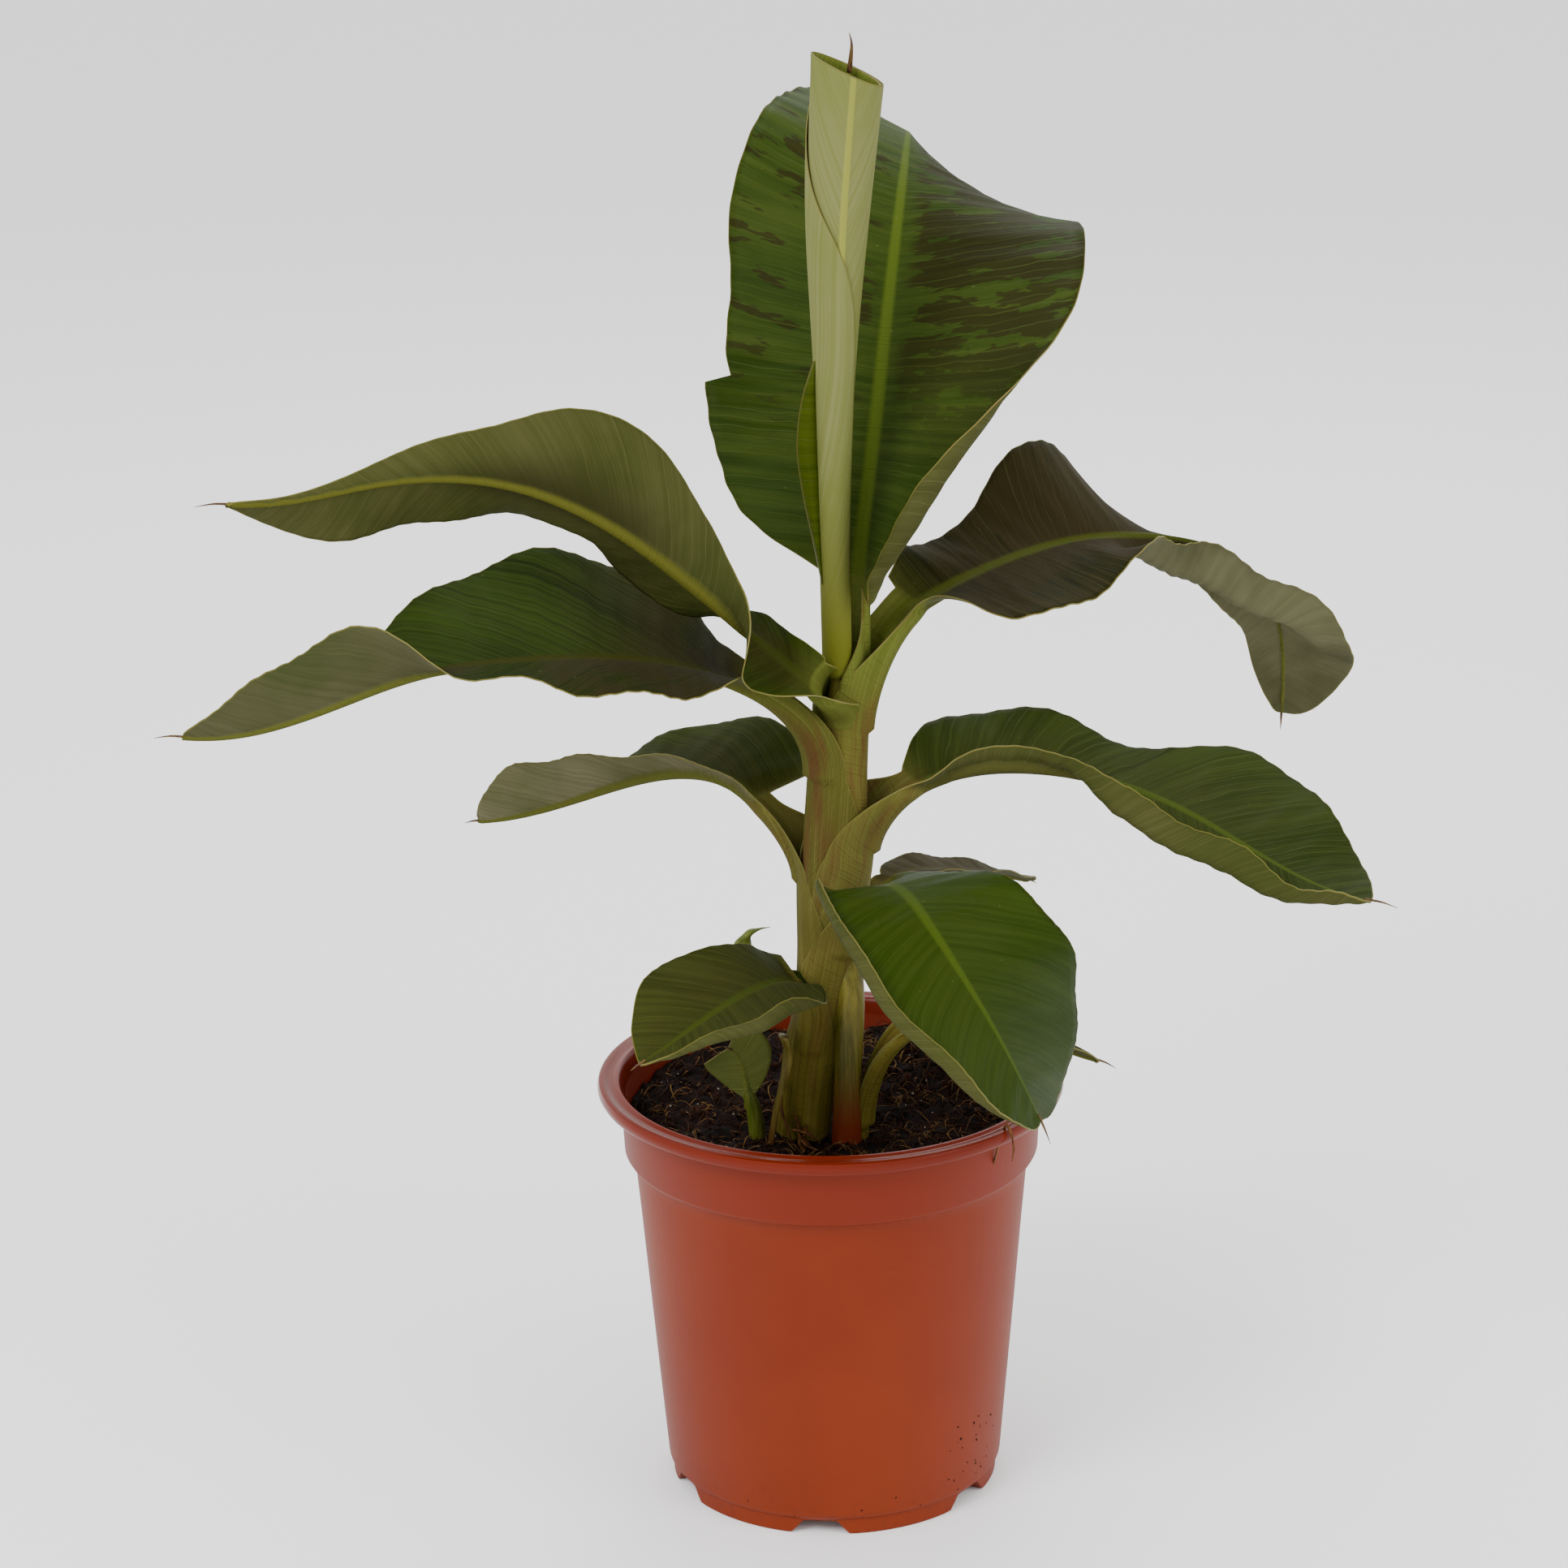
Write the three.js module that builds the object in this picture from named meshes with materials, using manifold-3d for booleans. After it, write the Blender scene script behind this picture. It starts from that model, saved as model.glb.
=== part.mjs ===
// Young banana plant in a round nursery pot. Millimetres, +Z up, the photographed side faces -Y.
// The origin is the middle of the pot's underside, on the surface that the pot stands on.
import * as THREE from 'three';
import Module from 'manifold-3d';

const wasm = await Module();
wasm.setup();

// Clearance that is kept between any two pieces.
const gap = 0.3;

// Pot: lip, shoulder band, tapered wall and a foot ring with notches in it.
const pot = {
  height: 221,
  lipRadius: 120,
  lipDepth: 7,
  lipInner: 108.5,
  bandRadius: 107.6,
  bandFoot: 187,
  wallRadius: 102,
  wallFoot: 11,
  wallFootRadius: 87.4,
  footRadius: 85,
  wall: 2.4,
  floor: 9,
  floorThickness: 3,
  bossRadius: 14,
  notches: 6,
  firstNotch: -98,
  notchTop: 16,
  notchBottom: 30,
  segments: 36,
};

// Soil: a flat foot on the pot's floor and a crumbly top that rises to the back.
const soil = { level: 193, riseBack: 13, crumb: 3, rings: 4 };

// Stem: the lean and the taper of the rolled leaf feet, and a side shoot that is grown to it.
const stem = {
  foot: 186,
  path: [[-16, -12], [-10, -10], [-1.5, -7], [3.5, -4], [6, -2], [9, 0]],
  radii: [16.5, 14.2, 16, 18, 14, 10.5],
  top: 440,
  sides: 16,
  rings: 8,
};
const sideShoot = {
  foot: 186,
  path: [[8, -22], [8, -19], [7, -14], [5, -10]],
  radii: [10, 9.5, 9, 8],
  top: 320,
  sides: 12,
  rings: 4,
};

// A leaf is this thick for each millimetre of its length.
const thicknessRatio = 0.0108;
const sheathShown = 55;
const halfSteps = 4;
const steps = { sheath: 3, stalk: 3, blade: 10, smallBlade: 6 };
const smallLeaf = 60;

// The leaves, from the youngest down. A leaf is a strip along its midrib: a sheath that wraps the
// stem, a channelled stalk and a blade. leaves is where the sheath lets go of the stem. heading
// (0 = +X, 90 = +Y) and pitch are the midrib's bearing and climb in degrees, at even steps from
// there to the tip. roll turns the blade about its midrib. Each half then has its greatest width,
// the angle at which it lifts from the midrib and the further angle that it curls through.
const leaves = {
  leaf_upright: {
    leaves: [12, 8, 446], sheath: 60, stalk: 40, blade: 335, colour: 0x3d5a1e,
    heading: [42, 54, 68, 78, 84, 86], pitch: [78, 77, 70, 44, -2, -40], roll: [0, 0, 0, 8, 26, 36],
    left: { width: 78, fullest: 0.36, blunt: 0.5, lift: [25, 12, 5, 0, 0], curl: [0, -10, 0, 0, 0] },
    right: { width: 98, fullest: 0.5, blunt: 0.62, lift: [25, 15, 5, -8, -22, -30],
      curl: [60, 30, -10, -25, -30] },
    stemRadius: 10, wave: 4, waves: 3,
  },
  leaf_upper_right: {
    leaves: [20, 5, 413], sheath: 70, stalk: 58, blade: 350, colour: 0x3a4526,
    heading: [35, 38, 38, 38, 46, 62], pitch: [66, 21, 1, -16, -44, -88], roll: [0],
    left: { width: 74, fullest: 0.36, blunt: 1.1, lift: [15, 45, 50, 40, 20, 10, 10, 10, 10],
      curl: [0, 0, -30, -50, -30, 0, 0] },
    right: { width: 60, fullest: 0.38, blunt: 0.8, lift: [0, -8, -10, 0, 5, 10, 10, 10, 5],
      curl: [0, -10, 0, 30, 170, 220, 200, 100, 20] },
    stemRadius: 13, wave: 2, waves: 5,
  },
  leaf_upper_left: {
    leaves: [-8, -25, 427], sheath: 70, stalk: 8, blade: 325, colour: 0x6a6d4a,
    heading: [200, 198, 192, 184, 178, 178], pitch: [60, 43, 37, 13, -9, 5],
    roll: [-20, 0, 50, 65, 68, 68, 65, 62, 60, 55, 50],
    left: { width: 48, fullest: 0.45, blunt: 1, lift: [0, 0, 0, 0, 10], curl: [0, 60, 90, 90, 70] },
    right: { width: 54, fullest: 0.38, blunt: 0.8, lift: [20, 20, 30, 40, 40, 40, 40], curl: [0] },
    stemRadius: 13, wave: 2, waves: 5,
  },
  leaf_mid_left: {
    leaves: [-14, -15, 412], sheath: 90, stalk: 45, blade: 288, colour: 0x3b4524,
    heading: [215, 204, 196, 190, 184, 180, 180], pitch: [52, 30, 14, -5, -19, -20, -12], roll: [0],
    left: { width: 58, fullest: 0.45, blunt: 0.9, lift: [10, -8, -10, 0, 55, 80, 70],
      curl: [0, 0, 0, 20, 20, 0] },
    right: { width: 66, fullest: 0.36, blunt: 0.7, lift: [20, 28, 28, 20, 15, 15], curl: [0] },
    stemRadius: 15, wave: 2, waves: 5,
  },
  leaf_low_left: {
    leaves: [-15, 0, 322], sheath: 90, stalk: 55, blade: 165, colour: 0x434f2a,
    heading: [146, 146, 150, 154, 158, 162], pitch: [80, 46, -4, -22, -24, -18], roll: [0],
    left: { width: 36, fullest: 0.42, blunt: 0.6, lift: [10, 5, 10, 10, 10], curl: [0, 20, 150, 190, 150] },
    right: { width: 42, fullest: 0.42, blunt: 0.6, lift: [20, 15, 10, 10, 10], curl: [0] },
    stemRadius: 16, wave: 2, waves: 4,
  },
  leaf_mid_right: {
    leaves: [21, -3, 347], sheath: 80, stalk: 45, blade: 242, colour: 0x33481c,
    heading: [18, 8, -6, -16, -22, -22], pitch: [65, 12, -8, -22, -30, -14], roll: [0],
    left: { width: 58, fullest: 0.45, blunt: 0.6, lift: [30, 22, 10, 5, 8], curl: [0] },
    right: { width: 46, fullest: 0.45, blunt: 0.6, lift: [0, -5, -10, -10, 0],
      curl: [0, 120, 190, 190, 190, 100] },
    stemRadius: 16, wave: 2, waves: 5,
  },
  leaf_front_right: {
    leaves: [7, -25, 294], sheath: 100, stalk: 52, blade: 180, colour: 0x2f4a1a,
    heading: [-62, -60, -60, -56, -42, -28], pitch: [74, 48, 0, -38, -58, -66], roll: [0],
    left: { width: 50, fullest: 0.45, blunt: 0.55, lift: [10, 5, 0, 0, 0], curl: [0, -10, -10, -10, 0] },
    right: { width: 52, fullest: 0.45, blunt: 0.55, lift: [10, 5, 0, 0, 0], curl: [0, -10, 10, 20, 0] },
    stemRadius: 17, wave: 1.5, waves: 4,
  },
  leaf_back: {
    leaves: [18, 20, 285], sheath: 80, stalk: 40, blade: 120, colour: 0x34481d,
    heading: [60, 56, 48, 46, 44, 42], pitch: [75, 20, -10, -16, -20, -24], roll: [0],
    left: { width: 32, fullest: 0.45, blunt: 0.6, lift: [20], curl: [0] },
    right: { width: 32, fullest: 0.45, blunt: 0.6, lift: [20], curl: [0] },
    stemRadius: 16, wave: 1, waves: 3,
  },
  leaf_front_left: {
    leaves: [-10, -27, 243], sheath: 50, stalk: 50, blade: 115, colour: 0x32461c,
    heading: [257, 236, 222, 222, 220, 208], pitch: [75, 58, 16, -4, -12, -18], roll: [0],
    left: { width: 42, fullest: 0.45, blunt: 0.55, lift: [0, -5, -5, 0, 0], curl: [0, 10, 30, 30, 0] },
    right: { width: 40, fullest: 0.45, blunt: 0.55, lift: [20, 15, 15, 15, 0], curl: [0] },
    stemRadius: 18, wave: 1, waves: 3,
  },
  leaf_base_right: {
    leaves: [19, -22, 206], sheath: 20, stalk: 48, blade: 132, colour: 0x55662e,
    heading: [-10, 15, 30, 28, 24, 20], pitch: [84, 50, -4, -14, -20, -26], roll: [0],
    left: { width: 25, fullest: 0.45, blunt: 0.6, lift: [20], curl: [0] },
    right: { width: 25, fullest: 0.45, blunt: 0.6, lift: [20], curl: [0] },
    stemRadius: 10, wave: 1, waves: 3,
  },
};

// The newest leaf, still rolled up: a slim horn that widens to a slanted mouth.
const rolledLeaf = {
  foot: [8, -4, 441], top: [13, -14, 742], bow: [-2, -5],
  radii: [7.5, 8.5, 9.5, 11, 13.5, 16.5, 18], slant: 10, sides: 18, rings: 12, colour: 0x8c9a5a,
};

// The sucker at the stem's left foot: its own stem, a spear and two small leaves.
const sucker = {
  path: [[-40, -20], [-42, -25], [-46, -25], [-48, -18]], foot: 186, top: 268,
  radii: [6.5, 6, 5, 4], sides: 10, rings: 6, colour: 0x4f6427,
};
const suckerLeaves = {
  sucker_leaf_front: {
    leaves: [-47, -22, 240], sheath: 4, stalk: 14, blade: 44, colour: 0x486024,
    heading: [-110, -108, -106, -104], pitch: [70, 25, -40, -70], roll: [0],
    left: { width: 15, fullest: 0.36, blunt: 0.6, lift: [5], curl: [0] },
    right: { width: 15, fullest: 0.36, blunt: 0.6, lift: [5], curl: [0] },
    stemRadius: 5, wave: 0, waves: 1,
  },
  sucker_leaf_right: {
    leaves: [-43, -17, 252], sheath: 4, stalk: 10, blade: 42, colour: 0x35491d,
    heading: [-20, -12, -5, 0], pitch: [75, 45, -10, -30], roll: [20],
    left: { width: 11, fullest: 0.45, blunt: 0.6, lift: [20], curl: [0] },
    right: { width: 11, fullest: 0.45, blunt: 0.6, lift: [20], curl: [0] },
    stemRadius: 5, wave: 0, waves: 1,
  },
};
const suckerSpear = {
  path: [[-48, -17], [-47, -12], [-44, -10], [-34, -8]], foot: 268.3, top: 306,
  radii: [3.4, 3, 2.6, 1.6], sides: 8, rings: 6, colour: 0x7c8747,
};

// A dry leaf foot that has come away at the stem's left side.
const drySheath = {
  path: [[-37, -30], [-33, -30], [-31, -31], [-30, -31]], foot: 196, top: 246,
  radii: [4.5, 3.5, 3, 1.5], sides: 8, rings: 6, colour: 0x6e5637,
};

const radians = THREE.MathUtils.degToRad;
const group = new THREE.Group();

// Smooth value at u (0 to 1) through evenly spaced stations.
function along(stations, u) {
  const last = stations.length - 1;
  if (last < 1) return stations[0];
  const x = THREE.MathUtils.clamp(u, 0, 1) * last;
  const i = Math.min(Math.floor(x), last - 1);
  const f = x - i;
  const b = stations[i];
  const c = stations[i + 1];
  const a = i > 0 ? stations[i - 1] : 2 * b - c;
  const d = i + 2 <= last ? stations[i + 2] : 2 * c - b;
  return 0.5 * (2 * b + (c - a) * f + (2 * a - 5 * b + 4 * c - d) * f * f + (3 * b - a - 3 * c + d) * f ** 3);
}

function ease(x, from, to) {
  return THREE.MathUtils.smoothstep(x, from, to);
}

// Share of a blade's greatest width at t (0 = base, 1 = tip).
function outline(t, half) {
  const skew = Math.log(0.5) / Math.log(half.fullest);
  return Math.max(Math.sin(Math.PI * Math.min(t, 1) ** skew), 0) ** half.blunt;
}

function solidOf(points, triangles) {
  const vertProperties = new Float32Array(points.flatMap((p) => [p.x, p.y, p.z]));
  const triVerts = new Uint32Array(triangles.flat());
  const solid = new wasm.Manifold(new wasm.Mesh({ numProp: 3, vertProperties, triVerts }));
  if (solid.volume() > 0) return solid;
  const turned = new Uint32Array(triangles.flatMap(([a, b, c]) => [a, c, b]));
  return new wasm.Manifold(new wasm.Mesh({ numProp: 3, vertProperties, triVerts: turned }));
}

// Skins a row of loops that all have the same number of points. Each end is closed by pairing
// the loop's first half with its second half, which suits a thin curved section.
function skin(loops) {
  const n = loops[0].length;
  const points = loops.flat();
  const triangles = [];
  for (let i = 0; i < loops.length - 1; i += 1) {
    for (let j = 0; j < n; j += 1) {
      const a = i * n + j;
      const b = i * n + ((j + 1) % n);
      triangles.push([a, b, b + n], [a, b + n, a + n]);
    }
  }
  const close = (start, flip) => {
    for (let j = 0; j < n / 2 - 1; j += 1) {
      const [a, b, c, d] = [start + j, start + j + 1, start + n - 2 - j, start + n - 1 - j];
      const pair = flip ? [[a, b, c], [a, c, d]] : [[a, c, b], [a, d, c]];
      triangles.push(...pair);
    }
  };
  close(0, false);
  close((loops.length - 1) * n, true);
  return solidOf(points, triangles);
}

// Upright rod with a leaning, tapered path. grow makes it fatter on every side.
function rod({ path, radii, foot, top, sides, rings }, grow = 0) {
  const loops = [];
  for (let i = 0; i <= rings; i += 1) {
    const u = i / rings;
    const x = along(path.map((p) => p[0]), u);
    const y = along(path.map((p) => p[1]), u);
    const z = foot - grow + u * (top - foot + 2 * grow);
    const radius = along(radii, u) + grow;
    const loop = [];
    for (let j = 0; j < sides; j += 1) {
      const angle = (2 * Math.PI * j) / sides;
      loop.push(new THREE.Vector3(x + radius * Math.cos(angle), y + radius * Math.sin(angle), z));
    }
    loops.push(loop);
  }
  return skin(loops);
}

// The midrib of a leaf from its sheath's foot to its tip, in short steps, with the frame there.
function midrib(leaf, steps = 240) {
  const length = leaf.sheath + leaf.stalk + leaf.blade;
  const rows = [];
  const place = new THREE.Vector3();
  let atLetGo = null;
  for (let i = 0; i <= steps; i += 1) {
    const s = (length * i) / steps;
    const u = (s - leaf.sheath) / (length - leaf.sheath);
    const upright = ease(leaf.sheath - s, 0, leaf.sheath * 0.8);
    const heading = radians(along(leaf.heading, Math.max(u, 0)));
    const pitch = radians(THREE.MathUtils.lerp(along(leaf.pitch, Math.max(u, 0)), 88, upright));
    const [ch, sh, cp, sp] = [Math.cos(heading), Math.sin(heading), Math.cos(pitch), Math.sin(pitch)];
    const forward = new THREE.Vector3(cp * ch, cp * sh, sp);
    const up = new THREE.Vector3(-sp * ch, -sp * sh, cp);
    const side = new THREE.Vector3(sh, -ch, 0);
    if (i > 0) {
      const mean = rows[i - 1].forward.clone().add(forward).multiplyScalar(0.5);
      place.addScaledVector(mean, length / steps);
    }
    if (atLetGo === null && s >= leaf.sheath) atLetGo = place.clone();
    rows.push({ s, place: place.clone(), forward, up, side });
  }
  const shift = new THREE.Vector3(...leaf.leaves).sub(atLetGo);
  rows.forEach((row) => row.place.add(shift));
  return rows;
}

// One closed section of a leaf at row: the upper face from left to right, then the lower back.
function section(leaf, row, thickness, grow) {
  const stalkEnd = leaf.sheath + leaf.stalk;
  const t = Math.max((row.s - stalkEnd) / leaf.blade, 0);
  const roll = radians(along(leaf.roll, t));
  const up = row.up.clone().multiplyScalar(Math.cos(roll)).addScaledVector(row.side, Math.sin(roll));
  const side = row.side.clone().multiplyScalar(Math.cos(roll)).addScaledVector(row.up, -Math.sin(roll));
  const channelled = ease(row.s, leaf.sheath * 0.55, leaf.sheath + leaf.stalk * 0.5);
  const opened = ease(row.s, stalkEnd - 10, stalkEnd + 0.08 * leaf.blade);
  const wrap = 125;
  const channel = { halfWidth: 9, curl: 75 };
  const sweep = along([-0.35, 0.1, 0.45], t) * ease(row.s, stalkEnd - 25, stalkEnd);
  const face = { left: [], right: [] };
  for (const [name, sign] of [['left', -1], ['right', 1]]) {
    const half = leaf[name];
    const sheathWidth = radians(wrap) * leaf.stemRadius * (1 - channelled) + channel.halfWidth * channelled;
    const bladeWidth = Math.max(half.width * outline(t, half), channel.halfWidth * (1 - ease(t, 0, 0.1)));
    const width = row.s < stalkEnd ? sheathWidth : bladeWidth;
    const lift = radians(along(half.lift, t) * opened);
    const tucked = wrap * (1 - channelled) + channel.curl * channelled;
    const curl = radians(THREE.MathUtils.lerp(tucked, along(half.curl, t), opened));
    const bend = THREE.MathUtils.lerp(1, 1.15, opened);
    let [x, y] = [0, 0];
    for (let k = 0; k <= halfSteps; k += 1) {
      const r = k / halfSteps;
      const angle = lift + curl * r ** bend;
      if (k > 0) {
        const mid = lift + curl * (r - 0.5 / halfSteps) ** bend;
        x += (Math.cos(mid) * width) / halfSteps;
        y += (Math.sin(mid) * width) / halfSteps;
      }
      const margin = k === halfSteps ? grow : 0;
      const ripple = leaf.wave * r * r * opened * Math.min(1, width / (0.6 * half.width))
        * Math.sin(2 * Math.PI * (leaf.waves * t + (sign < 0 ? 0.13 : 0.57)));
      const point = row.place.clone()
        .addScaledVector(side, sign * (x + margin * Math.cos(angle)))
        .addScaledVector(up, y + ripple + margin * Math.sin(angle))
        .addScaledVector(row.forward, sweep * width * r ** 1.3);
      const tilt = k === 0 ? 0 : angle;
      const normal = up.clone().multiplyScalar(Math.cos(tilt)).addScaledVector(side, -sign * Math.sin(tilt));
      face[name].push({ point, normal });
    }
  }
  const across = [...face.left.slice(1).reverse(), ...face.right];
  const thick = thickness / 2 + grow;
  const upper = across.map(({ point, normal }) => point.clone().addScaledVector(normal, thick));
  const lower = across.map(({ point, normal }) => point.clone().addScaledVector(normal, -thick));
  return [...upper, ...lower.reverse()];
}

// A leaf's solid through sections at the given lengths along its midrib.
function leafSolid(leaf, stations, grow = 0) {
  const rows = midrib(leaf);
  const length = leaf.sheath + leaf.stalk + leaf.blade;
  const thickness = thicknessRatio * (leaf.stalk + leaf.blade);
  const loops = [];
  for (const s of stations) {
    const x = (s / length) * (rows.length - 1);
    const k = Math.min(Math.floor(x), rows.length - 2);
    const f = x - k;
    const mix = (name) => rows[k][name].clone().lerp(rows[k + 1][name], f);
    const row = { s, place: mix('place'), forward: mix('forward'), up: mix('up'), side: mix('side') };
    loops.push(section(leaf, row, thickness, grow));
  }
  return skin(loops);
}

function evenly(from, to, count) {
  return Array.from({ length: count }, (_, i) => from + ((to - from) * i) / count);
}

// The leaf's stalk and blade, with the shorter steps at the blade's base and at its tip.
function frond(leaf, grow = 0) {
  const stalkEnd = leaf.sheath + leaf.stalk;
  const small = leaf.blade < smallLeaf;
  const count = small ? steps.smallBlade : steps.blade;
  const stations = evenly(leaf.sheath - 0.8, stalkEnd, small ? 1 : steps.stalk);
  for (let i = 0; i <= count; i += 1) {
    const u = i / count;
    const t = 0.5 * (u + (1 - Math.cos(Math.PI * u)) / 2);
    stations.push(stalkEnd + leaf.blade * Math.min(t, 0.988));
  }
  return leafSolid(leaf, stations, grow);
}

function sheathEnd(leaf, grow = 0) {
  const shown = Math.min(sheathShown, 0.9 * leaf.sheath);
  const stations = evenly(leaf.sheath - shown - grow, leaf.sheath, steps.sheath);
  return leafSolid(leaf, [...stations, leaf.sheath + grow], grow);
}

function largest(solid) {
  const parts = solid.decompose();
  return parts.reduce((best, part) => (part.volume() > best.volume() ? part : best));
}

function turned(profile, segments) {
  const geometry = new THREE.LatheGeometry(profile.map(([r, z]) => new THREE.Vector2(r, z)), segments);
  geometry.rotateX(Math.PI / 2);
  const place = geometry.attributes.position;
  const loops = [];
  for (let i = 0; i < segments; i += 1) {
    const loop = profile.map((_, j) => new THREE.Vector3().fromBufferAttribute(place, i * profile.length + j));
    loops.push(loop);
  }
  return loops;
}

// A turned ring: the profile closes on itself and never touches the axis.
function ringSolid(profile, segments) {
  const loops = turned(profile, segments);
  const n = profile.length;
  const triangles = [];
  for (let i = 0; i < segments; i += 1) {
    const next = ((i + 1) % segments) * n;
    for (let j = 0; j < n; j += 1) {
      const k = (j + 1) % n;
      triangles.push([i * n + j, i * n + k, next + k], [i * n + j, next + k, next + j]);
    }
  }
  return solidOf(loops.flat(), triangles);
}

function disc(radius, from, to, segments) {
  const geometry = new THREE.CylinderGeometry(radius, radius, to - from, segments, 1);
  geometry.rotateX(Math.PI / 2);
  geometry.translate(0, 0, (from + to) / 2);
  return merged(geometry);
}

// A closed three.js geometry as a solid, with the vertices of its faces shared.
function merged(geometry) {
  const place = geometry.attributes.position;
  const index = geometry.index ? [...geometry.index.array] : [...Array(place.count).keys()];
  const known = new Map();
  const points = [];
  const ids = index.map((i) => {
    const p = new THREE.Vector3().fromBufferAttribute(place, i);
    const key = p.toArray().map((v) => Math.round(v * 1e4)).join();
    if (!known.has(key)) known.set(key, points.push(p) - 1);
    return known.get(key);
  });
  const triangles = [];
  for (let i = 0; i < ids.length; i += 3) {
    const face = ids.slice(i, i + 3);
    if (new Set(face).size === 3) triangles.push(face);
  }
  return solidOf(points, triangles);
}

function makePot() {
  const under = pot.height - pot.lipDepth;
  const profile = [
    [pot.footRadius - 7, 0],
    [pot.footRadius, 0],
    [pot.wallFootRadius, pot.wallFoot],
    [pot.wallRadius, pot.bandFoot],
    [pot.bandRadius, pot.bandFoot + 2],
    [pot.bandRadius + 0.8, under - 3],
    [pot.lipRadius - 2, under],
    [pot.lipRadius, under + 2],
    [pot.lipRadius, pot.height - 2],
    [pot.lipRadius - 2, pot.height],
    [pot.lipInner, pot.height],
    [pot.bandRadius - pot.wall, pot.height - 6],
    [pot.bandRadius - pot.wall, pot.bandFoot + 2],
    [pot.wallRadius - pot.wall, pot.bandFoot - 1],
    [pot.wallFootRadius - pot.wall, pot.wallFoot + 4],
    [pot.footRadius - 7, pot.floor],
  ];
  const wall = ringSolid(profile, pot.segments);
  const plate = disc(pot.footRadius - 1, pot.floor, pot.floor + pot.floorThickness, pot.segments);
  const boss = disc(pot.bossRadius, 0, pot.floor + 1, 24);
  let body = wall.add(plate).add(boss);
  for (let i = 0; i < pot.notches; i += 1) {
    const wedge = new THREE.Shape([
      new THREE.Vector2(-pot.notchBottom / 2, -1),
      new THREE.Vector2(pot.notchBottom / 2, -1),
      new THREE.Vector2(pot.notchTop / 2, pot.floor - 1),
      new THREE.Vector2(-pot.notchTop / 2, pot.floor - 1),
    ]);
    const cut = new THREE.ExtrudeGeometry(wedge, { depth: 16, bevelEnabled: false });
    cut.rotateX(Math.PI / 2);
    cut.rotateZ(Math.PI / 2);
    cut.translate(pot.footRadius - 10, 0, 0);
    cut.rotateZ(radians(pot.firstNotch + (360 / pot.notches) * i));
    body = body.subtract(merged(cut));
  }
  return body;
}

function soilHeight(x, y) {
  const crumbs = Math.sin(x / 11 + 1) * Math.cos(y / 9) + 0.6 * Math.sin(x / 5 - y / 6);
  return soil.level + soil.riseBack * ease(y, -20, 90) + (soil.crumb / 2) * crumbs;
}

function makeSoil() {
  const foot = pot.floor + pot.floorThickness + gap;
  const inner = (z) => {
    const low = pot.wallFootRadius - pot.wall;
    const high = pot.wallRadius - pot.wall;
    const share = (z - pot.wallFoot - 4) / (pot.bandFoot - 1 - pot.wallFoot - 4);
    return z > pot.bandFoot - 1 ? high : low + (high - low) * share;
  };
  const side = (radius, z) => {
    const loop = [];
    for (let j = 0; j < pot.segments; j += 1) {
      const angle = (2 * Math.PI * j) / pot.segments;
      const [x, y] = [radius * Math.cos(angle), radius * Math.sin(angle)];
      loop.push(new THREE.Vector3(x, y, z ?? soilHeight(x, y)));
    }
    return loop;
  };
  const rim = inner(pot.bandFoot) - gap;
  const shoulder = foot + 8;
  const loops = [side(pot.footRadius - 8, foot), side(inner(shoulder) - gap, shoulder)];
  loops.push(side(inner(pot.bandFoot - 4) - gap, pot.bandFoot - 4));
  for (let i = soil.rings; i > 0; i -= 1) loops.push(side((rim * i) / soil.rings));
  const points = [...loops.flat(), new THREE.Vector3(0, 0, foot), new THREE.Vector3(0, 0, soilHeight(0, 0))];
  const n = pot.segments;
  const triangles = [];
  for (let j = 0; j < n; j += 1) {
    const next = (j + 1) % n;
    const end = (loops.length - 1) * n;
    triangles.push([points.length - 2, next, j], [points.length - 1, end + j, end + next]);
    for (let i = 0; i < loops.length - 1; i += 1) {
      const [a, b] = [i * n + j, i * n + next];
      triangles.push([a, b, b + n], [a, b + n, a + n]);
    }
  }
  return solidOf(points, triangles);
}

// The stem with the ends of the sheaths that stand out from it.
function makeStem(grow = 0) {
  let body = rod(stem, grow).add(rod(sideShoot, grow));
  for (const leaf of Object.values(leaves)) body = body.add(sheathEnd(leaf, grow));
  return largest(body);
}

function makeRolledLeaf(grow = 0) {
  const { foot, top, bow, radii, slant, sides, rings } = rolledLeaf;
  const loops = [];
  for (let i = 0; i <= rings; i += 1) {
    const u = i / rings;
    const swell = Math.sin(Math.PI * u);
    const radius = along(radii, u) + grow;
    const loop = [];
    for (let j = 0; j < sides; j += 1) {
      const angle = (2 * Math.PI * j) / sides;
      const [c, s] = [Math.cos(angle), Math.sin(angle)];
      loop.push(new THREE.Vector3(
        THREE.MathUtils.lerp(foot[0], top[0], u) + bow[0] * swell + radius * c,
        THREE.MathUtils.lerp(foot[1], top[1], u) + bow[1] * swell + radius * s,
        THREE.MathUtils.lerp(foot[2], top[2], u) - (grow - 2 * grow * u) - slant * c * ease(u, 0.7, 1),
      ));
    }
    loops.push(loop);
  }
  return skin(loops);
}

function addMesh(name, solid, colour, roughness = 0.7) {
  const mesh = solid.getMesh();
  const geometry = new THREE.BufferGeometry();
  geometry.setAttribute('position', new THREE.BufferAttribute(new Float32Array(mesh.vertProperties), 3));
  geometry.setIndex(new THREE.BufferAttribute(new Uint32Array(mesh.triVerts), 1));
  geometry.computeVertexNormals();
  const material = new THREE.MeshStandardMaterial({ color: colour, roughness, metalness: 0 });
  const piece = new THREE.Mesh(geometry, material);
  piece.name = name;
  group.add(piece);
}

// Cuts what stands before a piece out of it, with the clearance, and keeps its main body.
function clearOf(solid, others) {
  return largest(others.reduce((rest, other) => rest.subtract(other), solid));
}

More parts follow.
